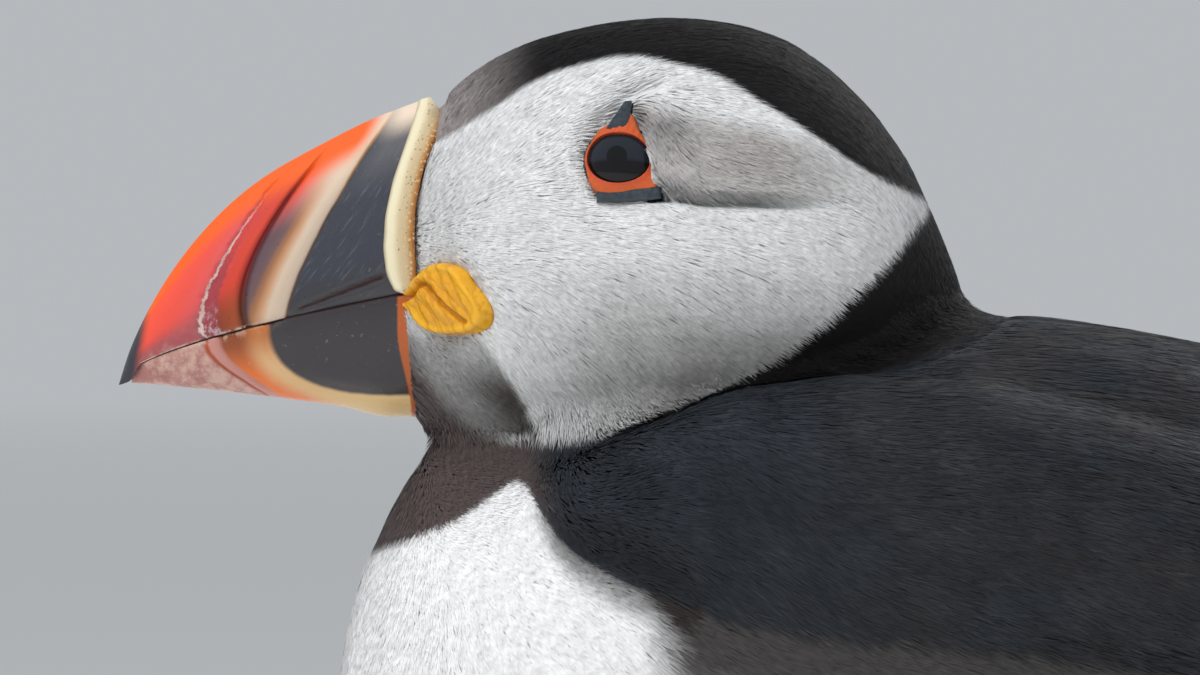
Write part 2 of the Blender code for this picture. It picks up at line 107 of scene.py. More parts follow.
def meshOf(name, points, corners, sizes, smooth=True):
    # points in mm, the point at every corner, and how many corners each face has
    mesh = bpy.data.meshes.new(name)
    mesh.vertices.add(len(points))
    mesh.vertices.foreach_set("co", (np.asarray(points) * mm).astype(np.float32).ravel())
    mesh.loops.add(len(corners))
    mesh.loops.foreach_set("vertex_index", np.asarray(corners, np.int32))
    mesh.polygons.add(len(sizes))
    starts = np.concatenate([[0], np.cumsum(sizes)[:-1]])
    mesh.polygons.foreach_set("loop_start", starts.astype(np.int32))
    mesh.update(calc_edges=True)
    mesh.polygons.foreach_set("use_smooth", np.full(len(sizes), smooth))
    return mesh


def gridMesh(name, grid, wrapRows=False, wrapColumns=False):
    # grid is rows x columns x 3
    rows, columns = grid.shape[:2]
    index = np.arange(rows * columns).reshape(rows, columns)
    if wrapRows:
        index = np.vstack([index, index[:1]])
    if wrapColumns:
        index = np.hstack([index, index[:, :1]])
    quads = np.stack([index[:-1, :-1], index[:-1, 1:], index[1:, 1:], index[1:, :-1]], -1).reshape(-1, 4)
    return meshOf(name, grid.reshape(-1, 3), quads.ravel(), np.full(len(quads), 4))


def tidyMesh(mesh, weld=0.00001):
    # merge the points that meet at seams and poles, close open ends, then turn every face out
    form = bmesh.new()
    form.from_mesh(mesh)
    bmesh.ops.remove_doubles(form, verts=form.verts[:], dist=weld)
    bmesh.ops.dissolve_degenerate(form, edges=form.edges[:], dist=weld / 10)
    bmesh.ops.holes_fill(form, edges=form.edges[:], sides=0)
    bmesh.ops.recalc_face_normals(form, faces=form.faces[:])
    form.to_mesh(mesh)
    form.free()
    mesh.shade_smooth()
    return mesh


def joined(name, meshes):
    # several meshes as one, with their attributes kept
    form = bmesh.new()
    for mesh in meshes:
        form.from_mesh(mesh)
    whole = bpy.data.meshes.new(name)
    form.to_mesh(whole)
    form.free()
    whole.shade_smooth()
    return whole


def readOut(items, key, width=1, kind=np.float32):
    flat = np.empty(len(items) * width, kind)
    items.foreach_get(key, flat)
    return flat


def pointsOf(mesh):
    return readOut(mesh.vertices, "co", 3).reshape(-1, 3).astype(float) / mm


def normalsOf(mesh):
    return readOut(mesh.vertex_normals, "vector", 3).reshape(-1, 3).astype(float)


def facesOf(mesh):
    # the point at every corner, and how many corners each face has
    return readOut(mesh.loops, "vertex_index", 1, np.int32), readOut(mesh.polygons, "loop_total", 1, np.int32)


def movePoints(mesh, points):
    mesh.vertices.foreach_set("co", (points * mm).astype(np.float32).ravel())
    mesh.update()


def paint(mesh, colours):
    rgba = np.ones((len(colours), 4), np.float32)
    rgba[:, :3] = colours
    mesh.attributes.new("tint", "FLOAT_COLOR", "POINT").data.foreach_set("color", rgba.ravel())


def note(mesh, **values):
    # numbers at every point, for the materials to read
    for name, value in values.items():
        flat = np.asarray(value, np.float32).ravel()
        mesh.attributes.new(name, "FLOAT", "POINT").data.foreach_set("value", flat)


def closedForm(name, grid, wrapRows=False, **notes):
    # a closed surface from a grid whose columns meet
    mesh = gridMesh(name, grid, wrapRows, True)
    note(mesh, **notes)
    return tidyMesh(mesh)


def place(name, mesh, finish, stands=()):
    piece = bpy.data.objects.new(name, mesh)
    bpy.context.scene.collection.objects.link(piece)
    mesh.materials.clear()
    mesh.materials.append(finish)
    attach(piece, "root")
    if stands:
        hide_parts(*stands)
    return piece


def pieceFrame(node, side):
    # middle of a flat solid, then its back, up and outward directions; outward is its thinnest way
    points = pointsOf(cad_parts[node].data)
    middle = (points.min(0) + points.max(0)) / 2
    out = np.linalg.svd(points - points.mean(0), full_matrices=False)[2][2]
    out = out * np.sign(out[0] * side)
    back = unit(np.array([0, 1, 0]) - out * out[1])
    return middle, back, np.cross(out, back) * side, out


def seenFromSide(seat, a, b, height):
    # a place by how far back and up it looks from the side, and by its height off the plane
    middle, back, up, out = seat
    alpha = np.asarray(a) / back[1]
    beta = (np.asarray(b) - alpha * back[2]) / up[2]
    return middle + alpha[..., None] * back + beta[..., None] * up + np.asarray(height)[..., None] * out


def tube(path, radii, count=24, squash=1.0):
    # rings of these radii square to the path; squash flattens them
    path, radii = np.asarray(path, float), np.asarray(radii, float)
    way = unit(np.gradient(path, axis=0))
    aside = unit(np.cross(way, [0, 0, 1]) + [1e-6, 0, 0])
    high = np.cross(aside, way)
    turn = circle(count)
    ring = (aside[:, None] * np.cos(turn)[None, :, None]
            + high[:, None] * (squash * np.sin(turn))[None, :, None])
    return path[:, None] + ring * radii[:, None, None]


def fuse(name, parts, voxel, smooth):
    # closed shells made one by a voxel remesh, then smoothed
    points, corners, sizes = zip(*parts)
    starts = np.cumsum([0] + [len(group) for group in points[:-1]])
    corners = [group + start for group, start in zip(corners, starts)]
    mesh = meshOf(name, *(np.concatenate(groups) for groups in (points, corners, sizes)))
    form = bpy.data.objects.new(name, mesh)
    bpy.context.scene.collection.objects.link(form)
    remesh = form.modifiers.new("fuse", "REMESH")
    remesh.mode = "VOXEL"
    remesh.voxel_size = voxel * mm
    soften = form.modifiers.new("smooth", "SMOOTH")
    soften.iterations = smooth
    result = bpy.data.meshes.new_from_object(form.evaluated_get(bpy.context.evaluated_depsgraph_get()))
    bpy.data.objects.remove(form)
    result.shade_smooth()
    return result


def lineGap(knots, a, b):
    # distance from each point to a chain of straight stretches
    best = np.full(a.shape, 99.0)
    for (ax, ay), (bx, by) in zip(knots[:-1], knots[1:]):
        wayX, wayY = bx - ax, by - ay
        part = np.clip(((a - ax) * wayX + (b - ay) * wayY) / (wayX ** 2 + wayY ** 2), 0, 1)
        best = np.minimum(best, np.hypot(a - ax - wayX * part, b - ay - wayY * part))
    return best


def filled(mesh, weight, rounds):
    # each round moves the points towards the mean of their neighbours by weight, so that a fold fills up
    points = pointsOf(mesh)
    ends = readOut(mesh.edges, "vertices", 2, np.int32)
    first, second = ends.reshape(-1, 2).T
    share = weight(points)[:, None]
    count = np.bincount(ends, minlength=len(points))[:, None]
    for step in range(rounds):
        total = np.stack([np.bincount(first, points[second, axis], len(points))
                          + np.bincount(second, points[first, axis], len(points)) for axis in range(3)], 1)
        points = points + (total / count - points) * share
    movePoints(mesh, points)


def shellFrom(grid, **wraps):
    mesh = tidyMesh(gridMesh("shell", grid, **wraps))
    return pointsOf(mesh), *facesOf(mesh)


# Materials

class Wire:
    # an output socket that sums can be done on
    def __init__(self, finish, socket):
        self.finish = finish
        self.socket = socket

    def sum(self, kind, first, second):
        return self.finish.node("ShaderNodeMath", {"operation": kind}, {0: first, 1: second})

    def __add__(self, other): return self.sum("ADD", self, other)
    def __radd__(self, other): return self.sum("ADD", other, self)
    def __sub__(self, other): return self.sum("SUBTRACT", self, other)
    def __rsub__(self, other): return self.sum("SUBTRACT", other, self)
    def __mul__(self, other): return self.sum("MULTIPLY", self, other)
    def __rmul__(self, other): return self.sum("MULTIPLY", other, self)


class Finish:
    def __init__(self, name):
        self.material = bpy.data.materials.new(name)
        self.material.use_nodes = True
        self.tree = self.material.node_tree
        self.tree.nodes.clear()

    def node(self, kind, settings=None, sockets=None, out=0):
        item = self.tree.nodes.new(kind)
        for key, value in (settings or {}).items():
            if key == "stops":
                self.fillRamp(item.color_ramp, value)
            else:
                setattr(item, key, value)
        for key, value in (sockets or {}).items():
            if isinstance(value, Wire):
                self.tree.links.new(value.socket, item.inputs[key])
            else:
                item.inputs[key].default_value = value
        return Wire(self, item.outputs[out]) if len(item.outputs) else None

    def fillRamp(self, ramp, stops):
        while len(ramp.elements) < len(stops):
            ramp.elements.new(1)
        for element, (spot, colour) in zip(ramp.elements, stops):
            element.position = spot
            element.color = (*colour, 1)

    def spot(self):
        return self.node("ShaderNodeTexCoord", out="Object")

    def turned(self, rotation, stretch):
        # the pattern is turned first, then drawn out by stretch along its own axes
        sockets = {"Vector": self.spot(), "Rotation": rotation, "Scale": stretch}
        return self.node("ShaderNodeMapping", {"vector_type": "TEXTURE"}, sockets)

    def attribute(self, name, out="Fac"):
        return self.node("ShaderNodeAttribute", {"attribute_name": name}, out=out)

    def noise(self, scale, detail=4, roughness=0.6, vector=None):
        sockets = {"Vector": vector or self.spot(), "Scale": scale, "Detail": detail, "Roughness": roughness}
        return self.node("ShaderNodeTexNoise", None, sockets)

    def cells(self, scale, vector=None, feature="F1"):
        sockets = {"Vector": vector or self.spot(), "Scale": scale}
        return self.node("ShaderNodeTexVoronoi", {"feature": feature}, sockets)

    def ramp(self, value, low, high, stops):
        # a ramp over low to high; its stops are given on the value's own scale
        part = self.node("ShaderNodeMapRange", None, {"Value": value, "From Min": low, "From Max": high})
        fitted = [((at - low) / (high - low), colour) for at, colour in stops]
        return self.node("ShaderNodeValToRGB", {"stops": fitted}, {"Fac": part})

    def span(self, value, low, high, toLow=0.0, toHigh=1.0):
        sockets = {"Value": value, "From Min": low, "From Max": high, "To Min": toLow, "To Max": toHigh}
        return self.node("ShaderNodeMapRange", {"interpolation_type": "SMOOTHSTEP"}, sockets)

    def between(self, value, low, high, soft):
        return self.span(value, low - soft, low + soft) * self.span(value, high + soft, high - soft)

    def mix(self, part, first, second, kind="MIX"):
        first, second = (colour if isinstance(colour, Wire) else (*colour, 1) for colour in (first, second))
        return self.node("ShaderNodeMix", {"data_type": "RGBA", "blend_type": kind},
                         {0: part, 6: first, 7: second}, 2)

    def mottled(self, scale, dark, light):
        # two colours mixed by a noise, and that noise
        grain = self.noise(scale, 4)
        return self.mix(self.span(grain, 0.3, 0.7), dark, light), grain

    def layered(self, colour, *layers):
        # colours laid over each other, each with the part of it that shows
        for part, over in layers:
            colour = self.mix(part, colour, over)
        return colour

    def bump(self, height, strength, distance=0.0002):
        return self.node("ShaderNodeBump", None,
                         {"Height": height, "Strength": strength, "Distance": distance})

    def surface(self, colour, roughness, normal=None, coat=0.0, **fixed):
        sockets = {"Base Color": colour, "Roughness": roughness, "Coat Weight": coat, **fixed}
        if normal:
            sockets["Normal"] = normal
        shader = self.node("ShaderNodeBsdfPrincipled", None, sockets)
        self.node("ShaderNodeOutputMaterial", None, {"Surface": shader})
        return self.material


def plumage(name, roughness, grainScale, barbs=0.0):
    # the tint that is stored in the coat, a little mottled; vanes add fine barbs from their own attribute
    finish = Finish(name)
    grain = finish.noise(grainScale, 3)
    shade = finish.mix(finish.span(grain, 0.25, 0.75), (0.88, 0.88, 0.88), (1.08, 1.08, 1.08))
    tint = finish.mix(1.0, finish.attribute("tint", "Color"), shade, "MULTIPLY")
    normal = None
    if barbs:
        comb = finish.node("ShaderNodeMath", {"operation": "SINE"}, {0: finish.attribute("barb") * 16.0})
        normal = finish.bump(comb + grain, barbs, 0.00012)
    return finish.surface(tint, finish.span(grain, 0.3, 0.7, roughness - 0.07, roughness + 0.07), normal,
                          **{"Specular IOR Level": 0.22})


# Markings and painted light. One function colours the skin and every feather by its place, painted shade and
# highlight included.

eyeAt = (-50.9, 147.6)
# crease, bright, shadow and hollow are painted shade and highlight; lowGreyAndShade is partly painted shade
marks = {
    "capEdge": [(-72, 148.5), (-67, 151.5), (-60, 156.5), (-51, 159), (-41, 157.2), (-31, 151), (-24, 146.5),
                (-15, 143)],
    "cheekEdge": [(115, -57), (119, -46), (124, -35), (128, -29.5), (134, -23), (139, -18.5), (144, -15.5)],
    "chinEdge": 115.6,
    "malarEdge": [(112, -56.5), (117, -60), (121.5, -62.3), (126, -65), (130, -69)],
    "bodyEdge": [(-84, 103), (-77, 104.5), (-70, 106.8), (-62, 112.3), (-59.5, 108), (-57, 104.2),
                 (-50, 100), (-35, 97.5), (-12, 94.5), (12, 90.5), (35, 86.5), (58, 83.5), (78, 80.3),
                 (87, 76.5), (97, 74), (108, 73.2)],
    "white": (0.79, 0.79, 0.79), "bright": (0.84, 0.84, 0.84), "breast": (0.88, 0.88, 0.88),
    "grey": (0.42, 0.395, 0.382), "lowGreyAndShade": (0.30, 0.285, 0.275), "shadow": (0.16, 0.155, 0.155),
    "crease": (0.08, 0.075, 0.07), "smudge": (0.075, 0.066, 0.061), "forehead": (0.34, 0.305, 0.298),
    "cap": (0.0095, 0.0078, 0.0085), "collar": (0.085, 0.066, 0.063), "slate": (0.0185, 0.0225, 0.029),
    "brown": (0.030, 0.0255, 0.026), "dusky": (0.024, 0.0195, 0.018), "hollow": (0.012, 0.011, 0.012),
}

headLow, headHigh = (np.array(corner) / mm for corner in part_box("head"))
headMiddle, headReach = (headLow + headHigh) / 2, (headHigh - headLow) / 2


def inHead(points):
    # soft 1 inside a rounded box a little over the head, 0 outside it
    far = (np.abs((points - headMiddle) / (headReach * 1.05)) ** 2.6).sum(1)
    return ease(1.25, 1.0, far)


def bodyEdge(y):
    # height of the line between the dark upper side and the white under side
    return lineAt(marks["bodyEdge"], y, 0.8)


def tinted(key, points):
    return np.tile(marks[key], (len(points), 1)).astype(float)


def creaseLine(a):
    # height under the eye's middle of the fold that runs back from its lower rear corner
    return -4.3 - 0.75 * ease(5, 10, a) - 0.04 * np.maximum(a - 13, 0)


def behindEye(y, z):
    # the swollen grey patch behind the eye, bounded below by the crease
    a, b = y - eyeAt[0], z - eyeAt[1]
    return (ease(0.5, 2.5, a - 0.32 * (5.6 - b)) * ease(-5.6, -4.2, b) * ease(8.5, 4.5, b + 0.24 * a)
            * ease(30, 17, a))


def faceColour(points):
    y, z = points.T[1:]
    drift = ripple(points, 9, 3)
    face = tinted("white", points)
    # the lower cheek turns grey towards the bottom: partly the face's own grey wash, partly painted shade
    # where less light falls
    lower = ease(139, 123, z + 0.12 * (y + 40)) * ease(-68, -46, y) * ease(-19, -27, y - 0.9 * (z - 134))
    face = blend(face, marks["lowGreyAndShade"], np.clip(0.66 * lower + 0.12 * drift * lower, 0, 1))
    patch = behindEye(y, z)
    face = blend(face, marks["grey"], np.clip(0.95 * patch + 0.15 * drift * patch, 0, 1))
    deep = hill(y, -46, 3.4) * hill(z, 150.6, 2.2) + 0.8 * hill(y, -44.5, 3) * hill(z, 144, 1.2)
    face = blend(face, marks["shadow"], 0.65 * np.clip(deep, 0, 1) * patch)
    a, b = y - eyeAt[0], z - eyeAt[1]
    # a thin dark line along the crease: painted shade in the fold
    line = hill(b - creaseLine(a), 0.1, 0.38) * ease(4, 8, a) * ease(21, 14, a)
    face = blend(face, marks["crease"], 0.92 * line)
    # a band brighter than the face's white just under the crease: painted highlight
    cheek = hill(z, 139.5, 3.5) * ease(-60, -52, y) * ease(-24, -34, y)
    face = blend(face, marks["bright"], 0.7 * cheek)
    face = blend(face, marks["grey"], hill(y, -70.5, 3) * ease(150, 140, z) * 0.18)
    # malar smudge below the rosette, darkest along its curved rear edge
    rear = lineAt(marks["malarEdge"], z, 0.5)
    malar = ease(0.5, -0.9, y - rear) * ease(129.5, 127, z)
    depth = 0.42 + 0.55 * ease(-9.5, -1.5, y - rear) * ease(128, 121, z)
    face = blend(face, marks["smudge"], np.clip(malar * depth + 0.06 * drift * malar, 0, 1))
    fringe = ease(117.2, 116.2, z) * ease(-65.5, -63.5, y)
    return blend(face, marks["white"], 0.85 * fringe)


def markingsAndShading(points):
    # head: dark cap round the pale face, with painted shade in its crease and lower cheek and a painted
    # highlight under the crease. Body: dark above its edge, pale below, dusky under the wing, with painted
    # shade in its hollows
    y, z = points.T[1:]
    cap = blend(tinted("cap", points), marks["forehead"], 0.95 * ease(-60, -70.5, y) * ease(146, 149, z))
    inFace = (ease(-0.4, 0.4, lineAt(marks["capEdge"], y) - z)
              * ease(-0.6, 0.6, lineAt(marks["cheekEdge"], z) - y))
    head = blend(cap, faceColour(points), inFace * ease(-0.5, 0.3, z - marks["chinEdge"]))

    drift = ripple(points, 16, 7)
    edge = bodyEdge(y)
    dark = blend(tinted("slate", points), marks["brown"],
                 np.clip(0.3 + 0.45 * drift, 0, 1) * ease(-45, -20, y))
    dark = dark * np.exp(0.26 * ripple(points, 7, 9))[:, None]
    dark = blend(dark, marks["collar"], ease(-57, -62, y))
    # painted shade: darker in the hollow under the wing's front and along the slit between the scapulars and
    # the wing
    dark = blend(dark, marks["hollow"], 0.8 * hill(y, -50.5, 6) * hill(z, edge + 3.2, 3))
    slitShade = hill(z, 123 - 0.2 * (y + 10.6), 0.55) * ease(-13, -9, y) * ease(13, 7, y)
    dark = blend(dark, marks["hollow"], 0.85 * slitShade)
    # the flank's dusky is its own colour; corner darkens the breast just under the wing's front edge, a
    # painted shade
    flank = ease(-51, -43, y + 2 * drift) * ease(20, 6, edge - z + 1.5 * drift) * ease(46, 4, y)
    corner = ease(-62, -58, y) * ease(-42, -51, y) * ease(4.5, 0.5, edge - z)
    pale = blend(tinted("breast", points), marks["dusky"], np.clip(0.965 * flank + 0.75 * corner, 0, 1))
    body = blend(pale, dark, ease(-0.6, 0.6, z - edge))
    return blend(body, head, inHead(points) * ease(-0.4, 0.4, z - marks["chinEdge"]))


# The lie of the coat: (y, z, angle) where angle 0 points back and 90 up.

lie = [(-72, 152, 60), (-66, 157, 45), (-58, 162, 22), (-46, 163, 2), (-34, 161, -20), (-26, 155, -40),
       (-18, 146, -58), (-14, 134, -62), (-70, 145, 14), (-66, 150, 34), (-60, 150, 22), (-56, 146, 6),
       (-57, 154, 26), (-52, 158, 20), (-45, 157, -4), (-51, 155.5, 38), (-36, 154, -16), (-30, 149, -26),
       (-48, 152.5, -58), (-46.3, 149, -66), (-45.2, 145.6, -42), (-42, 151, -26), (-40, 146, -22),
       (-34, 146, -16), (-27, 143, -14), (-60, 141, -12), (-52, 140, -12), (-44, 140, -14), (-36, 139, -18),
       (-27, 137, -26),
       (-66, 137, -8), (-67, 131, -22), (-58, 131, -30), (-48, 132, -34), (-38, 131, -36), (-30, 131, -38),
       (-60, 124, -50), (-50, 124, -46), (-42, 124, -42), (-58, 117.5, -72), (-50, 118, -52), (-64, 125, -52),
       (-72, 124, -12), (-66, 119, -34), (-72, 118, -22), (-76, 110, -66), (-68, 110, -40), (-81, 92, -86),
       (-78, 66, -70), (-62, 45, -38), (-30, 34, -8), (-56, 92, -42), (-40, 80, -24), (-10, 70, -10),
       (10, 60, 2), (20, 40, 10), (50, 62, 12), (-8, 129, -8), (30, 121, -18), (60, 107, -32), (82, 90, -32),
       (-50, 110, -10), (-20, 112, -12), (20, 104, -18), (50, 94, -22), (80, 85, -16)]


def lieAt(points, normals):
    # the guides' directions, each by 1 / (distance^2 + 3)^2, laid flat on the surface
    guides = np.array(lie, float)
    turn = np.radians(guides[:, 2])
    away = ((points[:, None, 1:] - guides[None, :, :2]) ** 2).sum(2) + 3
    weight = away ** -2.0
    weight /= weight.sum(1, keepdims=True)
    flow = np.stack([np.zeros(len(points)), weight @ np.cos(turn), weight @ np.sin(turn)], 1)
    return unit(flow - normals * dot(flow, normals))


# The ridge at the bill's base: where its middle runs and how wide it is, by height up the bill's side.
# The bill: run is measured back from its tip and rise up from it.

ridge = {"run": [(0, 32.4), (0.11, 31.9), (0.26, 31.6), (0.43, 31.75), (0.61, 32.6), (0.85, 34.6), (1, 35.3)],
         "half": [(0, 1.0), (0.11, 1.65), (0.26, 1.75), (0.43, 1.7), (0.61, 1.7), (0.85, 1.8), (1, 1.5)],
         "high": 0.85, "rows": 360, "columns": 40}
bill = {"tip": (-107.0, 122.5), "run": 35.0, "core": 3.0, "halfWidth": 8.2, "tipWidth": 0.9,
        "culmenRadius": 46.0, "culmenCentre": (44.0, -13.5), "mouthRise": 9.6, "mouthRun": 31.0,
        "mouthCurve": 0.62, "lowerDrop": 4.0, "lowerCurve": 1.25, "upperStart": 0.03, "lowerStart": 1.5,
        "gap": 0.03, "rows": 210, "columns": 88}


def culmenDip(run):
    # the culmen runs flatter than its arc behind the middle, then lifts to the ridge
    return -0.62 * hill(run, 22.5, 6.5) + 0.25 * ease(30.5, 34.5, run)


def culmenRise(run):
    # an arc of one circle
    back, up = bill["culmenCentre"]
    return up + np.sqrt(bill["culmenRadius"] ** 2 - (back - run) ** 2)


def mouthRise(run):
    # a power curve, steep at the tip
    return bill["mouthRise"] * (run / bill["mouthRun"]) ** bill["mouthCurve"]


def lowerRise(run):
    # a power curve, flat at the tip
    return -bill["lowerDrop"] * (run / bill["run"]) ** bill["lowerCurve"]


def billHalfWidth(run):
    # from the tip's half width to the base's by run^0.85
    part = (np.minimum(run, bill["run"]) / bill["run"]) ** 0.85
    return bill["tipWidth"] + (bill["halfWidth"] - bill["tipWidth"]) * part


def upperPlace(run, lift):
    # a section is an arch: half width * (1 - lift^1.8)^0.75 from the mouth line up to the culmen
    mouth = mouthRise(run) + bill["gap"]
    top = culmenRise(np.minimum(run, bill["run"])) - 1.2 * np.maximum(run - bill["run"], 0)
    return billHalfWidth(run) * np.maximum(1 - lift ** 1.8, 0) ** 0.75, mouth + (top - mouth) * lift


def lowerPlace(run, drop):
    # the lower section hangs from the mouth line: half width * (1 - drop^2.4)^0.6
    mouth = mouthRise(run) - bill["gap"]
    return billHalfWidth(run) * np.maximum(1 - drop ** 2.4, 0) ** 0.6, mouth + (lowerRise(run) - mouth) * drop


def billGrid(x, run, rise):
    return np.stack([x, bill["tip"][0] + run, bill["tip"][1] + rise], -1)


def pushed(section, run, part, push):
    # a place on a section moved straight out of it by push
    wide, rise = section(run, part)
    wideNext, riseNext = section(run, np.clip(part + 0.002, 0, 1))
    widePrior, risePrior = section(run, np.clip(part - 0.002, 0, 1))
    slopeX, slopeZ = wideNext - widePrior, riseNext - risePrior
    size = (np.hypot(slopeX, slopeZ) + 1e-9) * np.where(riseNext > risePrior, 1, -1)
    return wide + slopeZ / size * push, rise - slopeX / size * push


def ridgeAt(key, lift):
    return lineAt(ridge[key], lift, 0.02)


# Skin: the flesh solids, swollen till the cuts between them close, fused and smoothed.
# The hull is the coat's outer surface; the skin lies under it by the coat's depth.

skin = {"swell": 0.7, "voxel": 0.95, "smooth": 9, "faceDepth": 0.52, "bodyDepth": 0.62, "cell": 1.6,
        "rearEnd": 103.0, "corner": [(-66, 106), (-58, 112), (-49, 118)], "fillRounds": 70, "shade": 0.9,
        "plug": {"back": 6.8, "up": 8.6, "thick": 2.4, "sink": 2.2}, "frontReach": 9,
        "nodes": ["head", "neck", "trunk", "tail", "thigh_left", "thigh_right", "wing_left", "wing_right"]}


def shellOf(name):
    # a copy of the solid with its doubles merged, every point moved out by the swell
    form = bmesh.new()
    form.from_mesh(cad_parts[name].data)
    bmesh.ops.remove_doubles(form, verts=form.verts[:], dist=0.000002)
    mesh = bpy.data.meshes.new("shell")
    form.to_mesh(mesh)
    form.free()
    mesh.update()
    return pointsOf(mesh) + normalsOf(mesh) * skin["swell"], *facesOf(mesh)


def plug(name, side):
    # flat ball that fills the room round an eye, flush with the face
    middle, back, up, out = pieceFrame("eye_ring_" + name, side)
    size = skin["plug"]
    turn, rise = sheet(circle(32), np.linspace(-np.pi / 2, np.pi / 2, 17))
    wide = np.cos(rise)
    grid = (middle + (size["back"] * wide * np.cos(turn))[..., None] * back
            + (size["up"] * wide * np.sin(turn))[..., None] * up
            + (size["thick"] * np.sin(rise) - size["sink"])[..., None] * out)
    return shellFrom(grid, wrapRows=True)


def faceFront(section):
    # feathered skin between the bill's base and the head: the bill's own section, wider towards the back
    sweep, s = sheet(np.linspace(-1, 1, 61), np.linspace(0, 1, 16))
    part, reach = 1 - np.abs(sweep) ** 1.7, skin["frontReach"]
    start = ridgeAt("run", part) + 0.4 if section is upperPlace else 30.9 + 1.3 * part
    run = start + reach * s
    x, rise = pushed(section, run, part, skin["swell"] + 0.25 + 0.34 * reach * s)
    grid = billGrid(x * np.sign(sweep + 1e-9), run, rise)
    return shellFrom(np.swapaxes(grid, 0, 1), wrapColumns=True)


def bareEye(y, z):
    # the bare patch round an eye: a rounded triangle, wide at the lower plate, narrow above the upper one
    a, b = y - eyeAt[0], z - eyeAt[1]
    front = np.interp(b, [-5, -3.4, 0, 2, 3.5, 5.3, 6.8], [-2.4, -2.8, -3.65, -3.1, -1.9, -0.5, 0.8])
    rear = np.interp(b, [-4.8, -3, -0.8, 2.2, 4.6, 6.8], [4.9, 4.5, 3.95, 2.45, 1.5, 1.1])
    return (a > front) & (a < rear) & (b > -5.0) & (b < 6.3)


def relief(points, normals):
    # height over the plain hull: the swell behind the eye, the crease under it, brow, cheek and eye pit
    a, b = points[:, 1] - eyeAt[0], points[:, 2] - eyeAt[1]
    sidewards = ease(0.35, 0.6, np.abs(normals[:, 0])) * inHead(points)
    above, behind = b - creaseLine(a), a - 0.32 * (5.6 - b)
    fold = -2.0 * hill(above, -0.1, 0.45) * (ease(2.5, 6, a) * ease(24, 13, a))
    swell = 1.7 * ease(-0.1, 1.0, above) * ease(11.5, 4, above) * ease(-0.1, 1.6, behind) * ease(27, 12, a)
    cheek = 0.6 * ease(0, -1.5, above) * ease(-12, -4, above) * ease(-4, 4, a) * ease(26, 12, a)
    brow = -0.9 * hill(b - 7.6 - 0.35 * (a - 2), 0, 0.9) * ease(-0.5, 1, a) * ease(7, 3, a)
    lid = 0.5 * hill(np.hypot(a / 5.6, (b - 0.6) / 7.6), 1.0, 0.2) * ease(1.5, -1, a)
    pit = -1.2 * ease(1.05, 0.8, np.hypot((a - 0.45) / 4.7, (b - 0.6) / 5.9)) * ease(3.9, 2.1, a)
    return sidewards * (fold + swell + cheek + brow + lid + pit)


class Field:
    # cells round the hull that hold the mean place and normal of the surface near them
    def __init__(self, points, normals, cell):
        self.cell = cell
        self.low = points.min(0) - 4 * cell
        self.shape = np.ceil((points.max(0) - self.low) / cell).astype(int) + 4
        base = np.floor((points - self.low) / cell).astype(int)
        values = np.hstack([points, normals, np.ones((len(points), 1))])
        self.sums = np.zeros((self.shape.prod(), 7))
        for shift in np.ndindex(3, 3, 3):
            spot = base + np.array(shift) - 1
            gap = (spot + 0.5) * cell + self.low - points
            weight = np.exp(-(gap ** 2).sum(1) / (0.5 * cell ** 2))
            index = np.ravel_multi_index(spot.T, self.shape)
            for channel in range(7):
                self.sums[:, channel] += np.bincount(index, weight * values[:, channel], len(self.sums))

    def settle(self, points, normals):
        # drops points onto the hull; those out of reach stay, with the normal they came with
        spot = np.clip(np.floor((points - self.low) / self.cell).astype(int), 0, self.shape - 1)
        found = self.sums[np.ravel_multi_index(spot.T, self.shape)]
        held = found[:, 6:] > 1e-9
        share = np.where(held, found[:, 6:], 1)
        middle = found[:, :3] / share
        normals = np.where(held, unit(found[:, 3:6] / share), normals)
        off = dot(points - middle, normals) * held
        return points - normals * off, normals


def nearCorner(points):
    # soft 1 along the fold where the wing's front edge, the collar and the breast meet
    return 0.6 * ease(6.5, 3, lineGap(skin["corner"], points[:, 1], points[:, 2]))


shells = [shellOf(name) for name in skin["nodes"]] + [plug(name, side) for name, side in sides.items()]
shells += [faceFront(upperPlace), faceFront(lowerPlace)]
fused = fuse("fused", shells, skin["voxel"], skin["smooth"])
filled(fused, nearCorner, skin["fillRounds"])
hullNormals = normalsOf(fused)
hull = pointsOf(fused) - hullNormals * skin["swell"]
field = Field(hull, hullNormals, skin["cell"])


def depthAt(points):
    # the coat's depth on the body and on the head
    return skin["bodyDepth"] + (skin["faceDepth"] - skin["bodyDepth"]) * inHead(points)


outer = hull + hullNormals * relief(hull, hullNormals)[:, None]
movePoints(fused, outer - hullNormals * depthAt(hull)[:, None])
fused.name = "skin"
fused.shade_smooth()
# the skin is painted at 0.9 of the coat's colours: painted shade in the gaps between the feathers
paint(fused, markingsAndShading(hull) * skin["shade"])
place("skin", fused, plumage("underCoat", 0.8, 900), skin["nodes"])
fused.calc_loop_triangles()
triangles = readOut(fused.loop_triangles, "vertices", 3, np.int32).reshape(-1, 3)
print("skin", len(triangles), "triangles")


# Feathers: each starts on the skin, is walked along the hull by the lie, and is lifted off it.

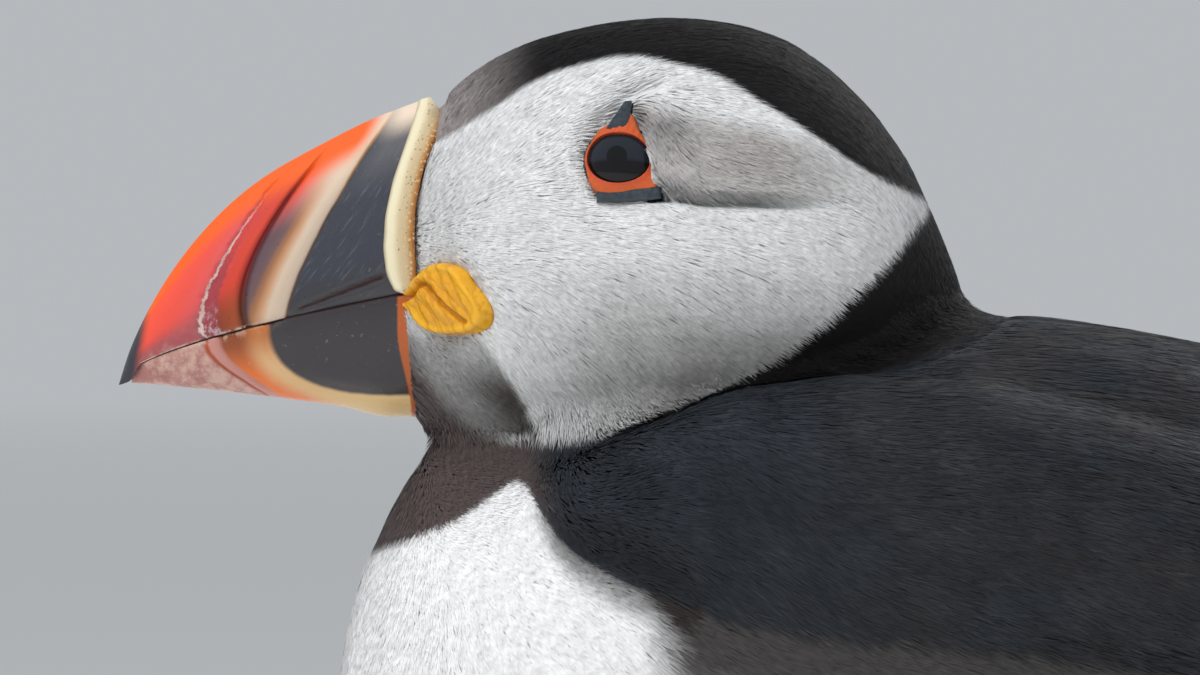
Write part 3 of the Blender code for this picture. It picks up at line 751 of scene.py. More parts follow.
def scatter(count, weight, side, dice):
    # roots spread over the hull by area times weight, where weight is read at each triangle's middle
    corner = hull[triangles]
    area = np.linalg.norm(np.cross(corner[:, 1] - corner[:, 0], corner[:, 2] - corner[:, 0]), axis=1)
    share = area * (weight(corner.mean(1), hullNormals[triangles].mean(1), side) + 1e-12)
    pick = dice.choice(len(triangles), count, p=share / share.sum())
    a, b = dice.random((2, count))
    a, b = np.where(a + b > 1, 1 - a, a), np.where(a + b > 1, 1 - b, b)
    parts = np.stack([1 - a - b, a, b], 1)[..., None]
    return (hull[triangles[pick]] * parts).sum(1), unit((hullNormals[triangles[pick]] * parts).sum(1))


def spaced(points, gap):
    # numbers of the points that are left when each cell of this size keeps only its first
    cell = np.floor(points / gap).astype(int)
    return np.unique(cell, axis=0, return_index=True)[1]


def bakeMap(mesh, roots, globe, patch):
    # the skin opened like a globe: turn about the bird's length across, angle from front to back upwards.
    # Each feather has a patch, 0.003 across, at its root's place
    middle, reach = globe
    ball = unit((roots - middle) / reach)
    turn = np.arctan2(ball[:, 0], ball[:, 2]) / (2 * np.pi) + 0.5
    spots = np.stack([0.01 + 0.98 * turn, 0.01 + 0.98 * np.arccos(np.clip(-ball[:, 1], -1, 1)) / np.pi], 1)
    spots = spots[:, None, :] + (patch * 0.003)[None]
    mesh.uv_layers.new(name="OFBake").data.foreach_set("uv", spots.astype(np.float32).ravel())


def onHull(points, normals):
    # down to the hull, and no further back than where it ends
    points, normals = field.settle(points, normals)
    points[:, 1] = np.minimum(points[:, 1], skin["rearEnd"])
    return points, normals


def walk(roots, normals, along, length, steps, ground=onHull):
    # the line of each feather on the ground it lies on, in even steps
    places, ups, ways = [roots], [normals], [along]
    spot, normal = roots, normals
    for step in range(steps):
        spot, normal = ground(spot + along * (length / steps)[:, None], normal)
        along = unit(along - normal * dot(along, normal))
        places.append(spot)
        ups.append(normal)
        ways.append(along)
    return places, ups, ways


def strands(name, setting, weight, side):
    # each a ribbon of three rows, 1, 0.85 and 0 of its width; it rises from the skin to the hull. Lengths
    # are in mm, stray and roll in degrees; root is the painted shade at the root, over an extra lift, and
    # read the row whose place gives the colour
    dice = np.random.default_rng(setting["seed"] + side)
    count = setting["count"]
    roots, normals = scatter(count, weight, side, dice)
    along = lieAt(roots, normals)
    swing = np.radians(dice.normal(0, 1, count) * setting["stray"])[:, None]
    along = unit(along * np.cos(swing) + np.cross(normals, along) * np.sin(swing))
    size = setting["size"](roots, along)
    length = setting["length"] * size * dice.uniform(0.75, 1.2, count)
    width = setting["width"] * (0.5 + 0.5 * size) * dice.uniform(0.75, 1.3, count)
    places, ups, ways = walk(roots, normals, along, length, 2)
    # a strand shrinks where the surface folds under it
    tame = 0.25 + 0.75 * ease(0.55, 0.9, dot(ups[0], ups[2]))
    places = [roots + (spot - roots) * tame for spot in places]
    depth = depthAt(roots)
    proud = dice.uniform(-0.6, 1, count) * setting["proud"]
    roll = np.radians(dice.normal(0, 1, count) * setting["roll"])[:, None]
    curl = dice.normal(0, setting["curl"], count) * length
    rows, shades = [], []
    for row, (wide, lift) in enumerate(((1.0, 0.0), (0.85, 0.82), (0.0, 1.0))):
        spot, up, way = places[row], ups[row], ways[row]
        across = np.cross(up, way)
        flat = across * np.cos(roll) + up * np.sin(roll)
        height = relief(spot, up) + depth * (lift - 1) + proud * row / 2 + setting["over"] * (row > 0)
        centre = spot + up * height[:, None] + across * (curl * (row / 2) ** 2)[:, None]
        for edge in ((-0.5, 0.5) if wide else (0,)):
            rows.append(centre + flat * (width * wide * edge)[:, None])
            shades.append(unit(up + flat * edge * 2 * setting["round"]))
    points = np.stack(rows, 1).reshape(-1, 3)
    base = np.arange(count)[:, None] * 5    # five points, one quad and one triangle for each
    corners = (base + np.array([1, 0, 2, 3, 3, 2, 4])).ravel()
    mesh = meshOf(name, points, corners, np.tile([4, 3], count))
    mesh.normals_split_custom_set_from_vertices(np.stack(shades, 1).reshape(-1, 3).tolist())
    tone = np.exp(dice.normal(0, setting["tone"], count)) * (1 + 0.06 * ripple(roots, 2.2, 41, 2))
    colours = markingsAndShading(places[setting["read"]]) * tone[:, None]
    # darker at the root, up to 1.06 at the tip: painted shade where the strands overlap
    shade = np.interp([0, 0, 0.8, 0.8, 1], [0, 1], [setting["root"], 1.06])
    paint(mesh, np.clip(colours[:, None, :] * shade[None, :, None], 0, 0.9).reshape(-1, 3))
    patch = np.array([[0.5, 0], [-0.5, 0], [-0.4, 0.55], [0.4, 0.55], [0.4, 0.55], [-0.4, 0.55], [0, 1]])
    bakeMap(mesh, roots, setting["globe"], patch)
    return place(name, mesh, setting["finish"])


def vanes(name, setting, roots, normals, along, length, width, lift=0.0):
    # a vane is rows along the shaft by columns across it: half width (s/full)^0.6, then an arch of power
    # blunt to a round tip. It rises from the skin to the hull, its shaft raised, its edges dipped by camber
    dice = np.random.default_rng(setting["seed"])
    count, rows, columns = len(roots), setting["rows"], setting["columns"]
    ground, full, fringe = setting["ground"], setting["full"], setting["fringe"]
    places, ups, ways = walk(roots, normals, along, length, rows - 1, ground)
    depth = np.minimum(depthAt(roots), setting["depth"])
    proud = setting["proud"] * dice.uniform(0.5, 1.3, count) + lift
    tone = np.exp(dice.normal(0, setting["tone"], count))
    swing = dice.normal(0, 0.04, count)

    def outline(s):
        past = np.maximum(s - full, 0) / (1 - full)
        return np.where(s < full, (np.maximum(s, 0.02) / full) ** 0.6,
                        np.sqrt(np.clip(1 - past ** setting["blunt"], 0, 1)))

    grid, shades = np.empty((2, count, rows, columns, 3))
    tints, barb = np.empty((2, count, rows, columns))
    for row, s in enumerate(1 - (1 - np.linspace(0, 1, rows)) ** 1.5):
        step = s * (rows - 1)
        low, part = min(int(step), rows - 2), step - min(int(step), rows - 2)
        spot = places[low] * (1 - part) + places[low + 1] * part
        up, way = unit(ups[low] * (1 - part) + ups[low + 1] * part), ways[low]
        aside = np.cross(up, way)
        for column, t in enumerate(np.linspace(-1, 1, columns)):
            out = width * outline(s) * t / 2 + swing * length * s * s
            back = setting["sweep"] * t * t * s * width
            point, normal = ground(spot + aside * out[:, None] - way * back[:, None], up)
            rise = (relief(point, normal) - depth * (1 - s) ** 1.6 + proud * s
                    - setting["camber"] * width * t * t + setting["shaft"] * (1 - abs(t)) ** 6)
            grid[:, row, column] = point + normal * rise[:, None]
            shades[:, row, column] = unit(normal + aside * t * setting["round"] + way * 0.1 * s)
            barb[:, row, column] = s * length - abs(t) * width * 0.5
            # painted shade: darker towards the base, 0.75 at the root, where the vanes overlap; the fringe
            # lightens the margins
            rim = max((abs(t) - 0.6) / 0.4, (s - 0.9) / 0.1, 0)
            tints[:, row, column] = (0.75 + 0.25 * s) * (1 + fringe * rim)
    colours = np.tile(setting["colour"], (count, 1)) if setting["colour"] else markingsAndShading(roots)
    index = np.arange(rows * columns).reshape(rows, columns)
    quad = np.stack([index[:-1, 1:], index[:-1, :-1], index[1:, :-1], index[1:, 1:]], -1).reshape(-1)
    corners = (np.arange(count)[:, None] * rows * columns + quad).ravel()
    mesh = meshOf(name, grid.reshape(-1, 3), corners, np.full(len(corners) // 4, 4))
    mesh.normals_split_custom_set_from_vertices(shades.reshape(-1, 3).tolist())
    tints = ((tints * tone[:, None, None]).reshape(count, -1, 1) * colours[:, None, :]).reshape(-1, 3)
    paint(mesh, np.clip(tints, 0, 0.9))
    note(mesh, barb=barb)
    patch = np.stack(np.meshgrid(np.linspace(-0.5, 0.5, columns), np.linspace(0, 1, rows)), -1).reshape(-1, 2)
    bakeMap(mesh, roots, trunkGlobe, patch[quad])
    return place(name, mesh, vaneFinish)


# Where the rosettes sit, and what they and the other fittings keep free of feathers.

rosette = {"at": (-70.5, 131.7), "rows": 52, "columns": 140, "lift": 0.35, "thick": 1.6,
           "fold": [(-4.9, 0.1), (-3.6, 0.25), (-2.7, 0.9), (-2.2, 1.7), (-1.5, 1.75), (-0.3, 0.5),
                    (0.6, -0.7), (2.6, -2.4)]}
rosetteFrames = {}
for name, side in sides.items():
    middle, back, up, out = pieceFrame("rosette_" + name, side)
    rosetteFrames[name] = (middle * [1, 0, 0] + [0, *rosette["at"]], back, up, out)


def rosetteEdge(a, b):
    # its outline as a distance from the middle: pointed at the gape, longest towards the lower rear
    turn = np.degrees(np.arctan2(b, a))
    return (3.95 + 1.25 * hill(wrapped(turn, -34), 0, 30) + 0.95 * hill(wrapped(turn, 180), 0, 13)
            + 0.35 * hill(wrapped(turn, 104), 0, 22) - 0.55 * hill(wrapped(turn, 32), 0, 26))


def clearOfFittings(points):
    # 0 over the bill, the ridge, the rosettes and the bare eye parts, 1 where feathers grow
    y, z = points.T[1:]
    run, rise = y - bill["tip"][0], z - bill["tip"][1]
    lift = np.clip((rise - 9.6) / 21.6, 0, 1)
    edge = np.where(rise > 9.6, ridgeAt("run", lift) + ridgeAt("half", lift) * 0.8,
                    np.interp(rise, [-4, -1, 3, 9.6], [33.2, 32.1, 31.3, 31.2]))
    keep = ease(-0.3, 0.3, run - edge)
    for name, side in sides.items():
        middle = rosetteFrames[name][0]
        a, b = y - middle[1], z - middle[2]
        near = points[:, 0] * side > 2
        keep = keep * np.where(near, ease(0.84, 0.94, np.hypot(a, b) / rosetteEdge(a, b)), 1)
    return keep * ~(bareEye(y, z) & (np.abs(points[:, 0]) > 8))


def headSize(points, along):
    # feathers shrink towards the bill, and stop short of the bare patch round each eye
    size = 0.5 + 0.5 * ease(-74.5, -62, points[:, 1])
    tip = points + along * (headTuft["length"] * size)[:, None]
    middle = points + along * (headTuft["length"] * size * 0.55)[:, None]
    size = np.where(bareEye(tip[:, 1], tip[:, 2]), 0.45 * size, size)
    return np.where(bareEye(middle[:, 1], middle[:, 2]), 0.5 * size, size)


headTuft = {"count": 64000, "seed": 11, "length": 3.1, "width": 0.19, "stray": 5, "roll": 5, "curl": 0.03,
            "proud": 0.08, "tone": 0.05, "round": 0.3, "root": 0.80, "over": 0.0, "read": 1, "size": headSize,
            "finish": plumage("headFeathers", 0.62, 1400), "globe": (headMiddle, headReach)}
crownTuft = dict(headTuft, count=42000, seed=14, width=0.21, tone=0.16)


def onFace(points, normals, side):
    # the pale face under the cap's edge, denser towards the bill
    low = points[:, 2] < lineAt(marks["capEdge"], points[:, 1]) + 1
    fine = 1 + 1.3 * ease(-60, -70, points[:, 1])
    return (inHead(points) > 0.4) * low * (points[:, 0] * side > 0) * clearOfFittings(points) * fine


def onCrown(points, normals, side):
    # the cap and the dark nape
    high = points[:, 2] >= lineAt(marks["capEdge"], points[:, 1]) - 1
    rear = points[:, 1] > lineAt(marks["cheekEdge"], points[:, 2]) - 1
    return (inHead(points) > 0.4) * (high | rear) * (points[:, 0] * side > -0.2) * clearOfFittings(points)


for name, side in sides.items():
    strands("face_feathers_" + name, headTuft, onFace, side)
    strands("crown_feathers_" + name, crownTuft, onCrown, side)
print("head feathers")


# Body coat. Fine barbs clothe the neck, breast, belly and flanks; vanes and barbs clothe the back and wings.

trunkGlobe = (np.array([0.0, 5.0, 85.0]), np.array([42.0, 100.0, 50.0]))
bodyVane = {"rows": 6, "columns": 5, "proud": 0.05, "depth": 0.9, "tone": 0.10, "full": 0.5, "blunt": 2.3,
            "sweep": 0.12, "camber": 0.014, "shaft": 0.03, "fringe": 0.05, "length": 13.0, "width": 8.5,
            "round": 0.12, "colour": None, "ground": onHull, "tries": 60000,
            "gaps": [(0, 0.7, 2.7), (0.7, 0.9, 3.3), (0.9, 2, 4.0)]}    # from size, to size, room for each
vaneFinish = plumage("bodyVanes", 0.58, 700, 0.2)


def vaned(points):
    # soft 1 over the back, the scapulars and the wings
    y, z = points.T[1:]
    return ease(-1.5, 1.5, z - bodyEdge(y)) * ease(-62, -57, y) * (inHead(points) < 0.03)


def flightZone(points):
    # the lower rear half of the folded wing, where the long feathers lie
    y, z = points.T[1:]
    top = np.interp(y, [-6, 12, 35, 60, 92], [97, 102, 98, 92, 84])
    return (y > 15) & (z < top) & (z > 79) & (np.abs(points[:, 0]) > 8)


def underVanes(points, normals, side):
    # where vanes grow: the back and the wing's front, a little above the dark side's edge
    y, z = points.T[1:]
    high = z > bodyEdge(y) + 5.0 * ease(26, 12, y)
    clear = (vaned(points) > 0.9) * high * (y > -56) * (y < 84) * (inHead(points + normals * 2) < 0.01)
    return clear * (points[:, 0] * side > -0.3) * ~flightZone(points)


for name, side in sides.items():
    dice = np.random.default_rng(31 + side)
    roots, normals = scatter(bodyVane["tries"], underVanes, side, dice)
    size = 0.55 + 0.45 * ease(-62, -20, roots[:, 1])    # small on the neck and shoulders, larger on the back
    groups = [(np.flatnonzero((size >= low) & (size < high)), gap) for low, high, gap in bodyVane["gaps"]]
    keep = np.concatenate([group[spaced(roots[group], gap)] for group, gap in groups])
    roots, normals, size = roots[keep], normals[keep], size[keep]
    length = bodyVane["length"] * size * dice.uniform(0.9, 1.1, len(roots))
    width = bodyVane["width"] * size * dice.uniform(0.9, 1.1, len(roots))
    vanes("back_vanes_" + name, dict(bodyVane, seed=33 + side), roots, normals, lieAt(roots, normals),
          length, width)
    print("back vanes", len(roots))


def barbSize(points, along):
    # short on the neck, the upper breast and the legs, full length on the flanks and back
    y, z = points.T[1:]
    size = 0.45 + 0.55 * np.maximum(ease(-58, -36, y), ease(98, 70, z))
    return size * (0.55 + 0.45 * ease(36, 48, z))


bodyTuft = {"count": 64000, "seed": 24, "length": 6.6, "width": 0.48, "stray": 5, "roll": 2, "curl": 0.025,
            "proud": 0.06, "tone": 0.03, "round": 0.15, "root": 0.97, "over": 0.0, "read": 1,
            "size": barbSize, "finish": plumage("bodyBarbs", 0.6, 900), "globe": trunkGlobe}
backTuft = dict(bodyTuft, count=47000, seed=27, length=7.0, width=0.36, stray=6, roll=4, curl=0.03,
                proud=0.12, tone=0.10, round=0.25, root=0.86, over=0.22, read=0)


def aboveFront(y, z):
    # the dark barbs of the shoulder start a little above the marking's edge, so that none lie over the white
    return z > bodyEdge(y) + 2.2 * ease(-44, -54, y)


def underRear(y, z):
    # towards the tail the pale barbs start well under the wing's edge, so that none lie over it
    return (y < 10) | (z < bodyEdge(y) + 1.5 - 4.5 * ease(10, 36, y))


def onBelly(points, normals, side):
    # densest on the upper breast, a little denser on the flank
    y, z = points.T[1:]
    fine = 0.45 + 3.6 * ease(-40, -62, y) * ease(72, 94, z) + 1.1 * ease(30, 0, y) * ease(76, 86, z)
    low = (vaned(points) < 0.45) | ~aboveFront(y, z) & (y < -44)
    return ((inHead(points) < 0.6) * low * (points[:, 0] * side > -0.3) * (z > 29) * (y < 97)
            * underRear(y, z) * fine)


def onBack(points, normals, side):
    # the dark upper side, without the flight feathers' place
    y, z = points.T[1:]
    fine = 0.7 + 0.6 * ease(20, -20, y)
    return ((inHead(points) < 0.6) * (vaned(points) > 0.5) * (points[:, 0] * side > -0.3)
            * ~flightZone(points) * aboveFront(y, z) * (y < 93) * fine)


for name, side in sides.items():
    strands("body_barbs_" + name, bodyTuft, onBelly, side)
    strands("back_barbs_" + name, backTuft, onBack, side)
print("body barbs")


# Flight feathers of the folded wings, then the tail.

flightVane = {"rows": 14, "columns": 5, "proud": 0.1, "depth": 0.5, "tone": 0.05, "full": 0.3, "blunt": 3.0,
              "sweep": 0.1, "camber": 0.02, "shaft": 0.16, "fringe": 0.35, "round": 0.12,
              "colour": (0.0155, 0.0150, 0.0160), "ground": onHull}

# each value of a folded wing's row is its first feather's, then the step to the next one
wingRows = {"primaries_": {"seed": 51, "count": 9, "y": (14, 3.6), "z": (96.5, -1.55), "turn": (-12.0, -0.25),
                           "length": (44, 0.7), "width": (7.5, 0), "lift": (0.9, -0.08)},
            "secondaries_": {"seed": 53, "count": 12, "y": (8, 3.0), "z": (98.5, -0.3), "turn": (-24.0, -0.2),
                             "length": (21, 0.2), "width": (8.0, 0), "lift": (1.1, -0.02)}}


def wingSpot(y, z, side):
    # the hull's place that shows at y, z from this side
    facing = np.flatnonzero(hullNormals[:, 0] * side > 0.15)
    seen = hull[facing][:, 1:]
    gap = (seen[None, :, 0] - y[:, None]) ** 2 + (seen[None, :, 1] - z[:, None]) ** 2
    pick = facing[gap.argmin(1)]
    spot = hull[pick].copy()
    spot[:, 1], spot[:, 2] = y, z
    return field.settle(spot, hullNormals[pick])


def headed(normals, x, y, z):
    # one direction for each feather, laid flat on its ground
    way = np.stack([part + 0 * normals[:, 0] for part in (x, y, z)], 1)
    return unit(way - normals * dot(way, normals))


for name, side in sides.items():
    for label, row in wingRows.items():
        y, z, turn, length, width, lift = (row[key][0] + row[key][1] * np.arange(row["count"])
                                           for key in ("y", "z", "turn", "length", "width", "lift"))
        roots, normals = wingSpot(y, z, side)
        turn = np.radians(turn)
        vanes(label + name, dict(flightVane, seed=row["seed"] + side), roots, normals,
              headed(normals, 0, np.cos(turn), np.sin(turn)), length, width, lift)

tail = {"top": [(80, 91.5), (86, 86.0), (90, 82.6), (94, 80.2), (101, 77.2), (107, 75.4), (112, 74.6)],
        "start": 85.0, "reach": 25.5, "rootHalf": 7.5, "tipHalf": 15.0, "bow": 18.0, "count": 12}


def onTail(points, normals):
    # the tail's upper line, drooping to its sides: height - (1.2 + 0.2 (101 - y)) (x / bow)^2
    x, y = points[:, 0], points[:, 1]
    droop = 1.2 + 0.2 * np.maximum(101 - y, 0)
    height = lineAt(tail["top"], y) - droop * (x / tail["bow"]) ** 2
    slope = lineAt(tail["top"], y + 0.5) - lineAt(tail["top"], y - 0.5)
    lean = 2 * droop * x / tail["bow"] ** 2
    return np.stack([x, y, height], 1), unit(np.stack([lean, -slope, 1 + 0 * x], 1))


# the tail's feathers fan out from under the rump, the middle ones longest and on top
i = np.linspace(-1, 1, tail["count"])
roots = np.stack([tail["rootHalf"] * i, tail["start"] + 0 * i, 0 * i], 1)
roots, normals = onTail(roots, roots)
spread = (tail["tipHalf"] - tail["rootHalf"]) / tail["reach"]
vanes("tail_vanes", dict(flightVane, seed=55, ground=onTail, proud=0.05, camber=0.004, full=0.25, fringe=0.5),
      roots, normals, headed(normals, spread * i, 1.0, -0.35), tail["reach"] - 2.6 * i ** 2, 6.2 + 0 * i,
      0.55 - 0.4 * np.abs(i))
print("flight feathers")


# Bill: arched sections carried back from the tip. Patterns run with band, the pale band and the slate plate,
# and with front, the groove in front of them; both lean back as they rise.

def slitLine(run):
    # height of the straight slit in the slate plate
    return 8.1 + 0.39 * (run - 20)


def billSheet(start, runPower, columnPower):
    # run from the tip's side to inside the head, and 0 at the mouth line to 1 at the culmen or the lower edge
    reach = bill["run"] + bill["core"] - start
    sweep = np.linspace(-1, 1, bill["columns"] * 2 + 1)
    run, part = sheet(start + reach * np.linspace(0, 1, bill["rows"]) ** runPower,
                      1 - np.abs(sweep) ** columnPower)
    return run, part, np.sign(sweep)[None, :]


def upperBill():
    # the upper sections, their half width changed by the grooves and swellings in shape; the tip hooks down
    run, lift, sign = billSheet(bill["upperStart"], 1.3, 1.6)
    wide, rise = upperPlace(run, lift)
    band = run - 12 * lift ** 1.6
    front = run - 11 * lift ** 2.6 - 1.0 * (1 - lift) ** 6
    wander = 0.25 * np.sin(rise * 2.1) + 0.15 * np.sin(rise * 5.3 + 1)
    shape = -0.28 * hill(band, 19.1, 0.26) + 0.32 * hill(band, 17.4, 1.3)
    shape += 0.34 * ease(13.55, 13.0, front) * ease(9.4, 10.6, front) - 0.42 * hill(front, 13.75, 0.45)
    shape += -0.30 * hill(front + wander, 9.0, 0.42) + 0.12 * ease(9.0, 7.5, front)
    slot = 0.15 + 0.022 * np.maximum(run - 19, 0)
    gape = rise - slitLine(run)
    shape += -0.6 * hill(gape, 0, slot) * ease(19.4, 21.5, run) * ease(30.4, 29.4, run)
    shape += (0.16 * hill(gape, -0.75, 0.4) * ease(20, 23, run)
              - 0.25 * ease(0.035, 0.0, lift) * ease(3, 12, run))
    shape *= ease(1.0, 0.84, lift) * ease(1.5, 5, run)
    wide = np.maximum(wide + shape, 0) * np.sqrt(np.clip(run / 1.2, 0.05, 1))
    rise = rise + culmenDip(run) * lift - 0.35 * ease(1.4, 0, run)
    rise = rise - mouthRise(run) * (1 - lift) * ease(2.6, 1.0, run)
    return closedForm("bill_upper_horn", billGrid(wide * sign, run, rise), band=band, front=front, lift=lift,
                      run=run, gape=gape / slot)


def lowerBill():
    # the lower sections, with grooves in front and a sunk rim round the oval slate plate
    run, drop, sign = billSheet(bill["lowerStart"], 1.1, 1.5)
    wide, rise = lowerPlace(run, drop)
    rise = rise - 0.55 * hill(run, 29.5, 3.2) * drop
    plate = ((np.maximum(31 - run, 0) / 14) ** 2.4 + (np.maximum(6.3 - rise, 0) / 7.7) ** 2.4) ** (1 / 2.4)
    front = run - 7 * drop ** 2.3
    shape = -0.26 * hill(front, 9.9, 0.35) - 0.14 * hill(front, 11.6, 0.3) + 0.1 * hill(front, 10.7, 0.5)
    shape += -0.12 * hill(plate, 1.02, 0.03) + 0.16 * ease(1.0, 0.85, plate) + 0.14 * hill(plate, 1.14, 0.08)
    shape += -0.18 * ease(0.04, 0.0, drop) * ease(3, 12, run)
    shape *= ease(1.0, 0.8, drop) * ease(1.5, 5, run)
    x = np.maximum(wide + shape, 0) * sign * np.sqrt(np.clip((run - 1.4) / 1.9, 0.05, 1))
    # a deck inside the mouth, higher than its edges, so that nothing shows through the gap
    deck = 0.35 * ease(0.8, 4, run[:, :1])
    x = np.hstack([x[:, :1] * 0.9, x, x[:, -1:] * 0.9])
    rise = np.hstack([rise[:, :1] + deck, rise, rise[:, -1:] + deck])
    run, front, drop, plate = (np.pad(values, ((0, 0), (1, 1)), "edge")
                               for values in (run, front, drop, plate))
    return closedForm("bill_lower_horn", billGrid(x, run, rise), front=front, drop=drop, run=run, plate=plate,
                      rise=rise)


def upperFinish():
    finish = Finish("upperHorn")
    wander = finish.noise(200, 3) - 0.5
    ragged = finish.noise(650, 6, 0.75) - 0.5
    band = finish.attribute("band") + wander * 0.5
    front = finish.attribute("front") + wander * 0.5
    lift = finish.attribute("lift")
    run = finish.attribute("run")
    # both front ramps turn near black at front 13.3 to 14.0: painted shade in the groove there
    lowFront = finish.ramp(front, 0, 16, [(0, (0.36, 0.075, 0.075)), (7.5, (0.38, 0.075, 0.085)),
                                          (8.8, (0.33, 0.09, 0.10)), (10.6, (0.22, 0.035, 0.012)),
                                          (12.6, (0.33, 0.06, 0.012)), (13.4, (0.13, 0.030, 0.014)),
                                          (14.0, (0.06, 0.03, 0.03))])
    midFront = finish.ramp(front, 0, 16, [(0, (0.88, 0.085, 0.04)), (5, (0.80, 0.075, 0.050)),
                                          (8.6, (0.70, 0.095, 0.095)), (9.6, (0.58, 0.05, 0.045)),
                                          (12.2, (0.66, 0.05, 0.02)), (13.3, (0.32, 0.018, 0.014)),
                                          (14.0, (0.10, 0.022, 0.024))])
    lowBack = finish.ramp(band, 12, 22, [(12.8, (0.12, 0.07, 0.085)), (14.0, (0.15, 0.085, 0.085)),
                                         (15.0, (0.36, 0.15, 0.06)), (16.0, (0.55, 0.30, 0.17)),
                                         (16.8, (0.61, 0.47, 0.35)), (18.7, (0.60, 0.47, 0.36)),
                                         (18.98, (0.12, 0.05, 0.018)), (19.25, (0.040, 0.044, 0.060))])
    topBack = finish.ramp(band, 8, 22, [(9, (0.90, 0.06, 0.02)), (12.5, (0.86, 0.10, 0.06)),
                                        (14.5, (0.80, 0.36, 0.25)), (16, (0.71, 0.53, 0.41)),
                                        (18.6, (0.76, 0.58, 0.42)), (18.95, (0.50, 0.22, 0.05)),
                                        (19.25, (0.060, 0.063, 0.080)), (21.5, (0.11, 0.108, 0.120))])
    back = finish.mix(finish.span(lift, 0.55, 0.86), lowBack, topBack)
    colour = finish.mix(finish.span(lift + wander * 0.12, 0.10, 0.42), lowFront, midFront)
    slate = finish.span(band, 19.1, 19.5)
    scratch = finish.noise(1.0, 5, 0.7, finish.turned((0.95, 0, 0), (0.004, 0.0035, 0.0004)))
    colour = finish.layered(
        colour,
        (finish.span(front, 13.75, 14.15), back),
        (slate * finish.span(scratch, 0.54, 0.74) * 0.22, (0.30, 0.35, 0.44)),
        (slate * finish.span(lift, 0.28, 0.05) * 0.7, (0.040, 0.035, 0.037)),
        (finish.span(lift, 0.82, 0.96) * finish.span(run, 28.0, 32.5), (0.80, 0.64, 0.50)),
        (finish.span(lift, 0.76, 0.92) * finish.span(run, 31.5, 27.5) * finish.span(band, 19.3, 16.3),
         (0.90, 0.115, 0.005)))
    # flaked groove: a pale torn rim, with raw dark red and dust inside it lower down, and a haze in front
    torn = finish.attribute("front") + ragged * 2.0 + wander * 1.2
    raw = finish.between(torn + lift * 0.9, 9.15, 10.9, 0.15) * finish.span(lift, 0.74, 0.48)
    dust = raw * finish.span(finish.noise(1400, 4, 0.7), 0.46, 0.60) * finish.span(lift, 0.34, 0.08)
    rim = finish.between(torn, 8.65, 9.1, 0.10) * finish.span(lift, 0.90, 0.70)
    haze = finish.span(lift, 0.30, 0.05) * finish.span(front, 9.2, 7.5)
    haze = haze * finish.span(finish.noise(500, 5, 0.7), 0.4, 0.7)
    colour = finish.layered(colour, (raw * 0.8, (0.30, 0.040, 0.055)), (dust * 0.75, (0.50, 0.36, 0.40)),
                            (rim * 0.8, (0.74, 0.60, 0.54)), (haze * 0.45, (0.50, 0.30, 0.27)))
    # the mouth line's flakes and its dark seam, the dark nail at the tip, the slit painted near black red
    # inside as the shade of its opening, and specks all over
    flaky = finish.span(lift, 0.032, 0.012) * finish.span(run, 18, 14) * finish.span(ragged, -0.08, 0.05)
    nail = finish.span(run - lift * 0.9 + wander * 0.6, 3.1, 1.3)
    inside = finish.between(finish.attribute("gape"), -0.8, 0.8, 0.5) * finish.between(run, 20.3, 29.9, 0.4)
    fine = finish.noise(1700, 4, 0.65)
    colour = finish.layered(colour, (flaky, (0.62, 0.47, 0.36)),
                            (finish.span(lift, 0.010, 0.003), (0.03, 0.014, 0.012)),
                            (nail, (0.036, 0.035, 0.045)), (inside, (0.030, 0.004, 0.004)),
                            (finish.span(fine, 0.64, 0.80) * 0.16, (0.75, 0.68, 0.64)))
    normal = finish.bump(fine * 0.5 + scratch * slate * 0.5 + rim * 1.2 - raw * 0.6, 0.4, 0.00016)
    return finish.surface(colour, finish.span(fine, 0.3, 0.7, 0.27, 0.42), normal, 0.12,
                          **{"Coat Roughness": 0.2})


